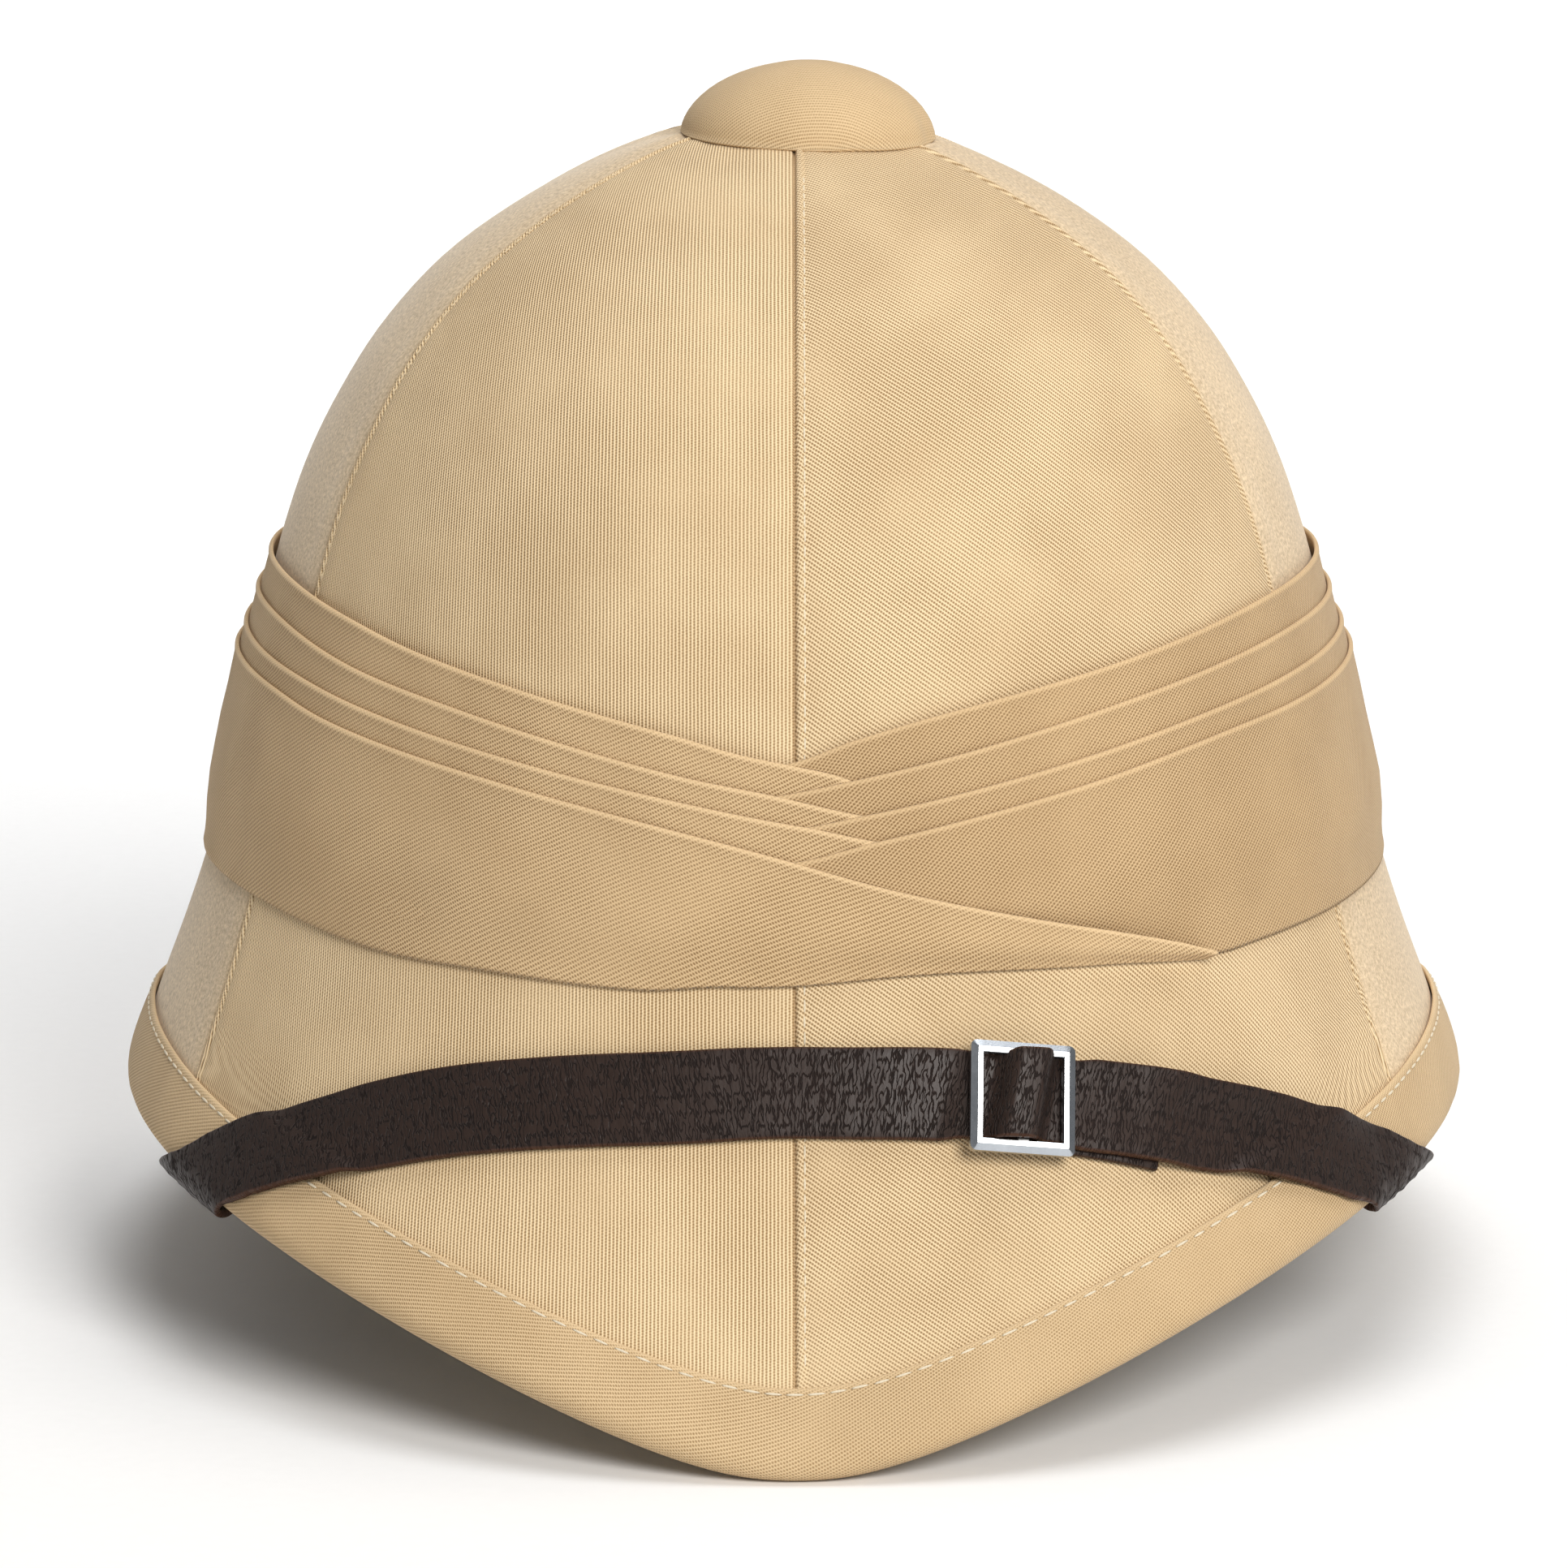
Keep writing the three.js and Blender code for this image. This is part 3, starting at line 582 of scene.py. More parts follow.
def cloth_places(angles, heading):
    """Where each row's points lie on the flat cloth, going away from the seam that it was cut along."""
    shares = [1 - row / panel_rows for row in range(panel_rows + 1)]
    seam_lengths = lengths_up(round(angles[0], 4))
    along = [0.0] * len(shares)
    down = [-spline(seam_lengths, 1 - share) for share in shares]
    places = []
    before = None
    for angle in angles:
        rows = [skin(angle, share) for share in shares]
        for row, share in enumerate(shares if before else []):
            step = rows[row] - before[row]
            fall_line = (skin(angle, min(share + 0.004, 1)) - skin(angle, max(share - 0.004, 0))).normalized()
            fall = step.dot(fall_line)
            along[row] += heading * math.sqrt(max(step.length_squared - fall * fall, 0.0))
            down[row] += fall
        before = rows
        places.append(list(zip(along, down)))
    return places


def panel_columns(start, end, count, grain_at, ridges):
    """Columns from one seam to the next; ridges names the seams whose turned edge is on this panel."""
    ways = [0.5 - 0.5 * math.cos(math.pi * step / count) for step in range(count + 1)]
    angles = [start + (end - start) * way for way in ways]
    heading = 1 if grain_at == start else -1
    places = cloth_places(angles[::heading], heading)[::heading]
    totals = [abs(places[-1][row][0] - places[0][row][0]) for row in range(panel_rows + 1)]
    columns = []
    for angle, column_places in zip(angles, places):
        column = []
        for row, place in enumerate(column_places):
            share = 1 - row / panel_rows
            from_start = abs(place[0] - places[0][row][0])
            from_end = totals[row] - from_start
            height = panel_height(min(from_start, from_end), angle, share)
            height += seam_ridge(from_start) if start in ridges else 0.0
            height += seam_ridge(from_end) if end in ridges else 0.0
            column.append((over_skin(angle, share, height), place))
        columns.append(column)
    return columns


panel_wall = 0.9 * mm
# A gore that narrows to a point is this many times wider than its area over its length
gore_fullness = 1.8


def cover_panel(name, start, end, grain_at, finish, ridges=(), count=80):
    shape = lofted(panel_columns(start, end, count, grain_at, ridges))
    area = cut_area(shape)
    panel = as_piece(f"{name}_cloth", shape, finish, [name])
    length = max(lengths_up(round(start, 4))[-1], lengths_up(round(end, 4))[-1])
    gore_fullness * area / length
    wall = panel.modifiers.new("wall", "SOLIDIFY")
    wall.thickness = panel_wall
    wall.offset = -1


cover_panel("panel_front_left", -seam_side, 0, 0, twill_upright, [-seam_side])
cover_panel("panel_front_right", 0, seam_side, 0, twill_slanted, [0, seam_side])
cover_panel("panel_side_left", -seam_back, -seam_side, -seam_side, twill_brushed, [], 60)
cover_panel("panel_side_right", seam_side, seam_back, seam_side, twill_brushed, [], 60)
cover_panel("panel_back_left", -180, -seam_back, -180, twill_slanted, [-seam_back])
cover_panel("panel_back_right", seam_back, 180, 180, twill_upright, [seam_back, 180])

# %% [markdown]
# ## The bound edge
# A strip of the same twill is folded round the brim's edge and stitched through. It is padded
# by its own turnings, so its section is a soft roll with a leg up each side. Where the hat
# stands on it, at the front point and along the back, it is pressed flat.

# %% The binding
binding_over = 1.5 * mm
binding_depth = 14 * mm
binding_inside = 10 * mm
edge_roll = 1.1 * mm
binding_points = [
    (0.10 * mm, -binding_depth + 0.2 * mm),
    (0.75 * mm, -binding_depth - 0.1 * mm),
    (1.30 * mm, -binding_depth + 0.5 * mm),
    (1.25 * mm, -binding_depth + 1.4 * mm),
    (1.60 * mm, -binding_depth + 3.4 * mm),
    (1.85 * mm, -6.5 * mm),
    (1.75 * mm, -2.5 * mm),
    (1.45 * mm, 0.4 * mm),
    (0.35 * mm, 2.0 * mm),
    (-1.2 * mm, 2.65 * mm),
    (-2.9 * mm, 2.55 * mm),
    (-4.7 * mm, 1.7 * mm),
    (-5.75 * mm, -0.2 * mm),
    (-6.0 * mm, -3.2 * mm),
    (-5.8 * mm, -7.2 * mm),
    (-5.5 * mm, -binding_inside + 0.6 * mm),
    (-4.9 * mm, -binding_inside),
    (-4.4 * mm, -binding_inside + 0.4 * mm),
    (-4.4 * mm, -4.0 * mm),
    (-4.4 * mm, 0.2 * mm),
    (0.1 * mm, 0.2 * mm),
    (0.1 * mm, -6.0 * mm),
    (0.10 * mm, -binding_depth + 0.2 * mm),
]
binding_wobble = 0.18 * mm


def soft_floor(height):
    """Presses what would sink below the floor flat onto it, with a soft shoulder."""
    give = 0.35 * mm
    return 0.5 * (height + math.hypot(height, give)) if height < 3 * mm else height


def binding_column(angle, along):
    column = []
    down = 0.0
    before = None
    for height, past in binding_points:
        point = by_edge(angle, height, past)
        down += (point - before).length if before else 0.0
        before = point
        wobble = noise.noise(Vector((along / (9 * mm), past / (9 * mm), 1.3))) * binding_wobble
        point = by_edge(angle, height + (wobble if height > 0.5 * mm else 0), past)
        point.z = soft_floor(point.z)
        column.append((point, (along, down)))
    return column


def round_the_edge(step_length):
    """Angles round the brim whose places on the edge are about evenly spaced, with the way so far."""
    angles = [step * 0.25 - 180 for step in range(1441)]
    way = 0.0
    kept = [(angles[0], 0.0)]
    before = skin(angles[0], 1)
    for angle in angles[1:]:
        here = skin(angle, 1)
        way += (here - before).length
        before = here
        if way - kept[-1][1] >= step_length or angle == angles[-1]:
            kept.append((angle, way))
    return kept


edge_places = round_the_edge(2.2 * mm)
binding_shape = close_shape(lofted([binding_column(angle, way) for angle, way in edge_places]))
binding_flat = (cut_area(binding_shape, 2) / edge_places[-1][1], edge_places[-1][1])
binding = as_piece("brim_binding_cloth", binding_shape, twill_edge, ["brim_binding"])
smoother = binding.modifiers.new("soft", "SUBSURF")
smoother.levels = 1
smoother.render_levels = 1

# %% [markdown]
# ## The puggaree
# A long strip of cloth is folded into four pleats and wound round the crown. At the front the
# two ends of the winding cross like a braid: left over right, four times, and the last one
# runs on to a point over the wide lower fold. Each pleat here is its own strip, with a rounded
# lip. A strip's lower side is hidden under the next one, and its height over the skin says
# which is on top.

# %% Lines of the pleats
# Each line gives the share of the way down by angle from the front. A line that ends near the
# front runs on a little, hidden under the pleat that covers it.
over_lips = [
    [(-180, 0.525), (-120, 0.522), (-90, 0.520), (-71, 0.523), (-54.6, 0.532), (-43.7, 0.541),
     (-27.8, 0.552), (-12, 0.564), (-6.5, 0.571), (0.5, 0.5795), (5.2, 0.590), (13, 0.625)],
    [(-180, 0.560), (-120, 0.558), (-90, 0.557), (-71, 0.558), (-51, 0.571), (-35.6, 0.578),
     (-10.2, 0.594), (-1.7, 0.601), (6.6, 0.618), (14, 0.637)],
    [(-180, 0.592), (-90, 0.590), (-63.5, 0.595), (-49.9, 0.600), (-27, 0.607), (-10.1, 0.613),
     (0.8, 0.623), (7.8, 0.638), (15, 0.655)],
    [(-180, 0.616), (-90, 0.613), (-65.8, 0.615), (-53.7, 0.621), (-26.7, 0.627), (-10, 0.635),
     (-0.1, 0.649), (10.9, 0.682), (29, 0.742), (37.3, 0.772), (41.5, 0.790)],
]
under_lips = [
    [(-9, 0.590), (-0.1, 0.576), (6, 0.562), (15.1, 0.551), (37.3, 0.537), (60.9, 0.523),
     (90, 0.520), (120, 0.522), (180, 0.525)],
    [(-10, 0.614), (-1.9, 0.601), (5.1, 0.592), (18, 0.582), (36.6, 0.569), (62.8, 0.557),
     (90, 0.557), (120, 0.558), (180, 0.560)],
    [(-8, 0.634), (0.8, 0.624), (6.6, 0.618), (30.9, 0.605), (46.8, 0.597), (71.8, 0.591),
     (90, 0.590), (180, 0.592)],
    [(-9, 0.657), (-0.1, 0.649), (7.8, 0.638), (30.5, 0.626), (46, 0.618), (60, 0.617),
     (90, 0.614), (180, 0.616)],
]
over_bottom = [
    (-180, 0.805), (-120, 0.808), (-90, 0.806), (-81, 0.801), (-63.7, 0.795), (-42.6, 0.789),
    (-29.5, 0.774), (-14.3, 0.757), (-5.9, 0.743), (9.4, 0.740), (28.6, 0.768), (41.5, 0.794),
]
under_bottom = [
    (-9, 0.728), (10, 0.726), (28.6, 0.755), (37, 0.774), (42.4, 0.792), (49, 0.797),
    (54.5, 0.800), (64, 0.804), (90, 0.808), (120, 0.808), (180, 0.805),
]
pleat_lap = 0.017
first_height = 1.5 * mm
pleat_step = 0.65 * mm
crossing_step = 0.4 * mm
pleat_wall = 0.62 * mm
crossing_wall = 0.38 * mm         # the pleats are pressed thinner where they cross
under_gap = 0.12 * mm             # least room that a pleat leaves under it
lip_bulge = 0.3 * mm
lip_bulge_place = 0.75 * mm       # down from the lip
lip_bulge_spread = 0.7 * mm
crumple_depth = 0.35 * mm
# A shallow dent in the wide fold, by its angle and its distance down from the lip
dent_depth = 0.9 * mm
dent_angle = -39
dent_half_angle = 5
dent_down = 27 * mm
dent_half_height = 6 * mm
girth_share = 0.62                # down the crown to the line that the winding is measured along
back_end = 179.9                  # where both windings meet, behind
fold_ends = {"over": 41.4, "under": -9}


def crossing(angle):
    """1 where the two windings cross at the front, falling to 0 away from it."""
    return 1 - smooth_step(8, 26, abs(angle))


def over_height(index, angle):
    near = crossing(angle)
    away = first_height + pleat_step * index
    if index == 3 and angle > 0:
        return under_height(3, angle) + crossing_step
    return away + (first_height + crossing_step * (2 * index + 1) - away) * near


def under_height(index, angle):
    near = crossing(angle)
    away = first_height + pleat_step * index
    return away + (first_height + crossing_step * 2 * index - away) * near


@functools.lru_cache(maxsize=None)
def girth(angle):
    """Length round the crown from the front, under the pleats."""
    if angle == 0:
        return 0.0
    sign = 1 if angle > 0 else -1
    last = angle - sign * 1.0 if abs(angle) > 1 else 0.0
    return girth(last) + sign * (skin(angle, girth_share) - skin(last, girth_share)).length


def pleat_column(angle, lip, low, top_height, wall, bottom_height):
    """A closed section of a folded strip: round its lip, down its face, back up behind."""
    per_metre = 0.002 / (skin(angle, lip + 0.001) - skin(angle, lip - 0.001)).length
    width = max((low - lip) / per_metre, 0.8 * mm)
    near_lip = [0.12, 0.36, 0.7, 1.1, 1.7, 2.6]
    spread = [0.22, 0.36, 0.5, 0.64, 0.78, 0.88, 0.94, 0.98]
    most = 0.2 * width / len(near_lip)
    face = [min(step * mm, most * (index + 1)) for index, step in enumerate(near_lip)]
    face += [share * width for share in spread]
    outline = [(0.0, top_height - 0.55 * wall)]
    for index, distance in enumerate(face):
        bulge = lip_bulge * math.exp(-(((distance - lip_bulge_place) / lip_bulge_spread) ** 2))
        rounding = [0.22, 0.06][index] * wall if index < 2 else 0.0
        settle = smooth_step(0.62, 1.0, distance / width)
        height = top_height + (bottom_height - top_height) * settle + bulge - rounding
        outline.append((distance, height))
    outline.append((width, bottom_height - 0.5 * wall))
    outline.append((0.97 * width, max(bottom_height - wall, under_gap)))
    outline.append((0.6 * width, max(top_height - wall - 0.1 * mm, under_gap)))
    outline.append((min(0.5 * mm, 0.1 * width), max(top_height - wall, under_gap)))
    outline.append(outline[0])
    column = []
    way_round = girth(round(angle, 4))
    for index, (distance, height) in enumerate(outline):
        spot = (way_round / (16 * mm), distance / (13 * mm), top_height / mm)
        crumple = noise.noise(Vector(spot))
        beside_dent = (angle - dent_angle) / dent_half_angle
        below_dent = (distance - dent_down) / dent_half_height
        dent = math.exp(-(beside_dent**2) - below_dent**2)
        loose = smooth_step(2 * mm, 12 * mm, distance) * (1 - smooth_step(0.7, 1, distance / width))
        lift = (crumple * crumple_depth - dent * dent_depth) * loose
        visible = 1 <= index <= len(face)
        point = over_skin(angle, lip + distance * per_metre, height + (lift if visible else 0))
        column.append((point, (way_round, distance)))
    return column


def pleat(name, angles, lips, lower, height, bottom_height, finish, replaced=()):
    columns = []
    for angle in angles:
        lip = curve_value(lips, angle)
        low = lower(angle, lip)
        wall = pleat_wall + (crossing_wall - pleat_wall) * crossing(angle)
        columns.append(pleat_column(angle, lip, low, height(angle), wall, bottom_height(angle)))
    shape = close_shape(lofted(columns))
    area = cut_area(shape, 2)
    length = abs(girth(round(angles[-1], 4)) - girth(round(angles[0], 4)))
    strip = as_piece(name, shape, finish, replaced)
    flat = (max(area / length, 10 * mm), length)


def angles_between(start, end):
    """Steps of a degree from start to end, and of half a degree near the crossing."""
    angles = [start]
    while angles[-1] < end - 1e-6:
        step = 0.5 if -14 < angles[-1] < 44 else 1.0
        angles.append(min(angles[-1] + step, end))
    return angles


def hidden_low(next_lips):
    return lambda angle, lip: max(curve_value(next_lips, angle), lip) + pleat_lap


def narrow_pleats(side, spans, lips, height_at, finish, solid):
    """The three narrow pleats of one winding, from the top one down."""
    for index, span in enumerate(spans):
        height = functools.partial(height_at, index)
        low = hidden_low(lips[index + 1])
        replaced = [solid] if index == 0 else []
        name = f"pleat_{side}_{index + 1}"
        pleat(name, angles_between(*span), lips[index], low, height, height, finish, replaced)


over_spans = [(-back_end, end) for end in (13, 14, 15)]
under_spans = [(start, back_end) for start in (-9, -10, -8)]
narrow_pleats("over", over_spans, over_lips, over_height, wrap_over, "puggaree_left")
narrow_pleats("under", under_spans, under_lips, under_height, wrap_under, "puggaree_right")


def fold_low(bottom):
    return lambda angle, lip: max(curve_value(bottom, angle), lip + 0.004)


pleat(
    "fold_over", angles_between(-back_end, fold_ends["over"]), over_lips[3], fold_low(over_bottom),
    functools.partial(over_height, 3), lambda angle: 1.25 * mm, wrap_over,
)
pleat(
    "fold_under", angles_between(fold_ends["under"], back_end), under_lips[3], fold_low(under_bottom),
    functools.partial(under_height, 3), lambda angle: 1.0 * mm, wrap_under,
)

# %% [markdown]
# ## The top button
# A disc covered in the same twill closes the vent. Its cloth is drawn tight over a shallow
# dome and tucked under, so it has soft pleats only low on its sides. It was sewn on by hand, a
# little off the crown's axis. Each column runs down the dome to a rim that lies on the crown.

# %% The button
button_radius = (button_high.x - button_low.x) / 2
button_shift = (2.7 * mm, -2.0 * mm)


def crown_top_at(angle, radius):
    """The share at which the skin is that far from the crown's axis."""
    low, high = 0.0, 0.4
    for _ in range(24):
        middle = (low + high) / 2
        point = skin(angle, middle)
        if math.hypot(point.x, point.y - axis_y) < radius:
            low = middle
        else:
            high = middle
    return low


def crown_height_at(x, y):
    """Height of the skin at a place near the top of the crown."""
    angle = math.degrees(math.atan2(x, axis_y - y))
    return skin(angle, crown_top_at(angle, math.hypot(x, y - axis_y))).z


def button_column(angle):
    turn = math.radians(angle)
    out = Vector((math.sin(turn), -math.cos(turn)))
    middle = Vector((button_shift[0], axis_y + button_shift[1]))
    rim_place = middle + out * button_radius
    gape = 0.5 * mm * math.exp(-(((angle - 20) / 8) ** 2))
    rim = crown_height_at(*rim_place) + 0.15 * mm + gape
    tuck = math.exp(-(((angle - 74) / 7) ** 2)) + 0.6 * math.exp(-(((angle + 101) / 6) ** 2))
    slopes = [math.radians(degrees) for degrees in range(16, 90, 6)]
    dome = [(0.0, 1.0), (0.08, 0.998), (0.2, 0.985)]
    dome += [(math.sin(slope), math.cos(slope) ** 1.1) for slope in slopes]
    points = []
    for radius_share, height_share in dome + [(1.0, 0.025)]:
        pinch = 1 - tuck * 0.035 * smooth_step(0.75, 1.0, radius_share)
        place = middle + out * button_radius * radius_share * pinch
        points.append(Vector((*place, rim + (button_high.z - rim) * height_share)))
    for radius_share in (0.985, 0.93, 0.75, 0.5):
        place = middle + out * button_radius * radius_share
        points.append(Vector((*place, crown_height_at(*place) + (0.12 * mm if radius_share < 0.98 else 0.0))))
    column = []
    along = 0.0
    for before, point in zip([points[0], *points], points):
        along += (point - before).length
        column.append((point, (along * out.x, along * out.y)))
    return column


button_shape = lofted([button_column(step * 3.0 - 180) for step in range(121)])
button = as_piece("top_button_cloth", close_shape(button_shape), twill_button, ["top_button"])

# %% [markdown]
# ## The chin strap
# One leather strap is fastened inside at both ends, comes out round the brim's edge and is worn
# up over the front. Its middle follows a bowed line on the skin, from which the worn strap has
# slipped down a little. On the right its upper edge stands off the cloth. Each column
# stands square to the line, and goes round the edge on half an ellipse that clears the binding.

# %% The strap's run
strap_width = 16.6 * mm
strap_wall = 1.6 * mm
strap_gap = 0.5 * mm
strap_bridge = 0.8 * mm
strap_slack = 0.6 * mm
strap_rise = 68 * mm
strap_edge_left = 56.6
strap_edge_right = 57.8
strap_curve = 1.7
strap_end_angle = 84
binding_ramp = 8 * mm
stand_off = 2.6 * mm              # how far the strap's upper edge stands off the cloth
stand_rises = (22, 36)            # from where to where it comes away
stand_falls = (49, 56)            # and comes back
short_wave = 0.16 * mm
long_wave = 0.2 * mm
tail_width = 16 * mm
tail_wall = 1.2 * mm
tail_start = 16.8
tail_end = 33.4
tail_drop = 1.6 * mm
buckle_angle = 19.9
buckle_width = 19.4 * mm
buckle_bar = 2.3 * mm
buckle_window = 15.6 * mm
buckle_bevel = 1.25 * mm
buckle_thickness = 1.6 * mm
buckle_drop = 0.4 * mm
buckle_corner = 1.1 * mm
bevel_lift = 0.75 * mm
window_bevel = 0.2 * mm
sharp_edge = math.radians(60)
buckle_clearance = 0.3 * mm
strap_on_tail = strap_gap + tail_wall + layer_gap
buckle_height = strap_on_tail + strap_wall + 2 * buckle_clearance
turn_height = strap_gap + strap_wall / 2
turn_out = body_wall / 2 + binding_over + turn_height
turn_length = (math.pi / 2) * (turn_out + binding_over + edge_roll + turn_height)
# How far the worn strap has slipped down from an even bow, in millimetres, by angle from the front
strap_slip = [
    (-56, 0.0), (-50, 1.4), (-43, 2.6), (-32, 3.0), (-22, 2.9), (-14, 2.0), (-9, 0.9), (-4, -0.3), (2, -0.5),
    (8, 0.2), (13, 1.2), (17, 2.4), (20, 2.9), (24, 3.6), (28, 4.2), (36, 4.9), (44, 3.9), (51, 3.0),
    (56, 0.9), (58, 0.0),
]


def strap_middle(angle):
    """How far past the brim's edge the strap's middle is; negative on the outside."""
    share = abs(angle) / (strap_edge_left if angle < 0 else strap_edge_right)
    if share < 1:
        return curve_value(strap_slip, angle) * mm - strap_rise * (1 - share**strap_curve)
    return strap_rise * strap_curve * (share - 1)


def over_binding(distance, depth):
    return (binding_over + 0.3 * mm) * smooth_step(0, binding_ramp / 2, depth + binding_ramp - distance)


def wrapped(angle, past, height):
    if past <= 0:
        return by_edge(angle, over_binding(-past, binding_depth) + height, past)
    if past < turn_length:
        way = past / turn_length * math.pi
        slack = strap_slack * math.sin(way)
        bridge = strap_bridge * (0.5 - 0.5 * math.cos(way))
        half_depth = body_wall / 2 + binding_over + height + slack
        half_drop = binding_over + edge_roll + height + slack
        return by_edge(angle, -body_wall / 2 + half_depth * math.cos(way) - bridge, half_drop * math.sin(way))
    up = past - turn_length
    return by_edge(angle, -body_wall - over_binding(up, binding_inside) - strap_bridge - height, -up)


def strap_degrees(length):
    """Degrees round the brim that a length of strap takes near the buckle."""
    place = share_above_edge(buckle_angle, -strap_middle(buckle_angle))
    span = (skin(buckle_angle + 1, place) - skin(buckle_angle, place)).length
    return length / math.hypot(span, strap_middle(buckle_angle + 1) - strap_middle(buckle_angle))


bar_span = strap_degrees(buckle_width / 2 - buckle_bar - buckle_clearance)


def strap_height(angle):
    """Height over the wall: the strap climbs over its own tail and over the buckle's bar."""
    ramp = 4
    on_tail = smooth_step(tail_start - ramp, tail_start, angle)
    on_tail *= 1 - smooth_step(tail_end, tail_end + ramp, angle)
    near_bar = 1 - smooth_step(0.35 * bar_span, 0.95 * bar_span, abs(angle - buckle_angle))
    over_bar = buckle_height + buckle_thickness + 3 * buckle_clearance - strap_on_tail
    return strap_gap + on_tail * (strap_on_tail - strap_gap) + near_bar * over_bar


def strap_squeeze(angle):
    """The strap is squeezed where it passes inside the buckle's side bars."""
    way = abs(angle - buckle_angle) / bar_span
    return 1 - 0.07 * smooth_step(0.4, 0.85, way) * (1 - smooth_step(1.4, 2.2, way))


def strap_sideways(angle):
    """It also rides up a little on the middle bar."""
    return -0.2 * mm * (1 - smooth_step(0.4, 1.2, abs(angle - buckle_angle) / bar_span))


def strap_stand(angle, side):
    """On the sloping brim the tight strap stands upright, so its upper edge is off the cloth."""
    upper = max(0.0, -side / (strap_width / 2))
    return stand_off * upper * smooth_step(*stand_rises, angle) * (1 - smooth_step(*stand_falls, angle))


def strap_lean(angle):
    """How the strap's cross direction leans, and how long a metre of it comes out."""
    middle = strap_middle(angle)
    share = min(0.999, share_above_edge(angle, max(0.0, -middle)))
    here = skin(angle, share)
    along = (skin(angle + 0.05, share) - here) / math.radians(0.05)
    down = (skin(angle, share + 0.001) - here).normalized()
    way = min(max(middle / turn_length, 0.0), 1.0) * math.pi
    slant = along.dot(down) * math.cos(way)
    climb = (strap_middle(angle + 0.1) - strap_middle(angle - 0.1)) / math.radians(0.2)
    lean = -(slant + climb) / (along.length_squared + climb * slant)
    length = math.sqrt(along.length_squared * lean**2 + 2 * slant * lean + 1)
    return lean, length


def on_strap(angle, sideways, height, lean_length):
    lean, length = lean_length
    offset = sideways / length
    return wrapped(angle + math.degrees(offset * lean), strap_middle(angle) + offset, height)


def strap_section(width, wall):
    """A flat strip's section with rounded edges, as (sideways, height) round a closed loop."""
    half = width / 2
    edge = 0.45 * mm
    top = [-half + edge * 0.35, -half + edge, -0.72 * half, -0.4 * half, 0, 0.4 * half, 0.72 * half]
    top += [half - edge, half - edge * 0.35]
    loop = [(-half, wall * 0.5), (-half, wall * 0.72)]
    loop += [(side, wall * (0.93 if abs(side) > half - edge * 0.9 else 1.0)) for side in top]
    loop += [(half, wall * 0.72), (half, wall * 0.5), (half, wall * 0.2)]
    loop += [(half - edge, 0.0), (0.0, 0.0), (-half + edge, 0.0), (-half, wall * 0.2), (-half, wall * 0.5)]
    return loop


def strap_columns(angles, section, height, sideways, squeeze):
    columns = []
    along = 0.0
    before = None
    for angle in angles:
        lean_length = strap_lean(angle)
        middle = on_strap(angle, 0.0, height(angle), lean_length)
        along += (middle - before).length if before else 0.0
        before = middle
        column = []
        for side, over in section:
            wave = noise.noise(Vector((along / (4.2 * mm), side / (15 * mm), 5.1)))
            broad = noise.noise(Vector((along / (21 * mm), side / (19 * mm), 8.4)))
            lift = wave * short_wave + broad * long_wave if over > 0.6 * mm else 0.0
            shift = side * squeeze(angle) + sideways(angle)
            rise = height(angle) + over + lift + strap_stand(angle, side)
            column.append((on_strap(angle, shift, rise, lean_length), (along, side)))
        columns.append(column)
    print(f"strip length {along / mm:.0f} mm")
    return columns


def strap_angles():
    angles = [-strap_end_angle]
    while angles[-1] < strap_end_angle - 1e-6:
        here = abs(angles[-1])
        near_edge = strap_edge_left - 10 < here < strap_edge_right + 14
        near_buckle = tail_start - 5 < angles[-1] < tail_start + 12
        step = 0.3 if near_edge or near_buckle else 0.8
        angles.append(min(angles[-1] + step, strap_end_angle))
    return angles


strap_shape = lofted(strap_columns(
    strap_angles(), strap_section(strap_width, strap_wall), strap_height, strap_sideways, strap_squeeze,
))
as_piece("chin_strap_leather", close_shape(strap_shape), leather, ["chin_strap"])
tail_angles = [tail_start + (tail_end - tail_start) * step / 40 for step in range(41)]
tail_shape = lofted(strap_columns(
    tail_angles, strap_section(tail_width, tail_wall), lambda angle: strap_gap,
    lambda angle: tail_drop * (angle - tail_start) / (tail_end - tail_start), lambda angle: 1.0,
))
as_piece("strap_tail_leather", close_shape(tail_shape), leather, ["strap_tail"])

# %% [markdown]
# ## The buckle
# The slide buckle is a square frame with a middle bar, cut from nickel plate and filed to a
# bevel. Here a grid's lines are moved to the bars' edges, the two windows are deleted, and the
# flat frame is thickened and bevelled, as a machinist would make it.

# %% The buckle
def by_buckle(turn, sideways):
    """A point under the strap, a few degrees from the buckle's middle."""
    angle = buckle_angle + turn
    return on_strap(angle, sideways, 0.0, strap_lean(angle))


def buckle_frame():
    """Along the strap, across it and out of it, with the middle of the bars' inner face."""
    before = by_buckle(-0.2, 0.0)
    after = by_buckle(0.2, 0.0)
    upper = by_buckle(0.0, -strap_width / 2)
    lower = by_buckle(0.0, strap_width / 2)
    along = (after - before).normalized()
    out = along.cross((upper - lower).normalized()).normalized()
    origin = by_buckle(0.0, buckle_drop) + out * buckle_height
    turned = Matrix((along, out.cross(along), out)).transposed().to_4x4()
    return Matrix.Translation(origin) @ turned


def bevel_edges(shape, edges, offset, segments):
    bmesh.ops.bevel(
        shape, geom=edges, offset=offset, segments=segments, profile=0.5, affect="EDGES", material=-1,
    )


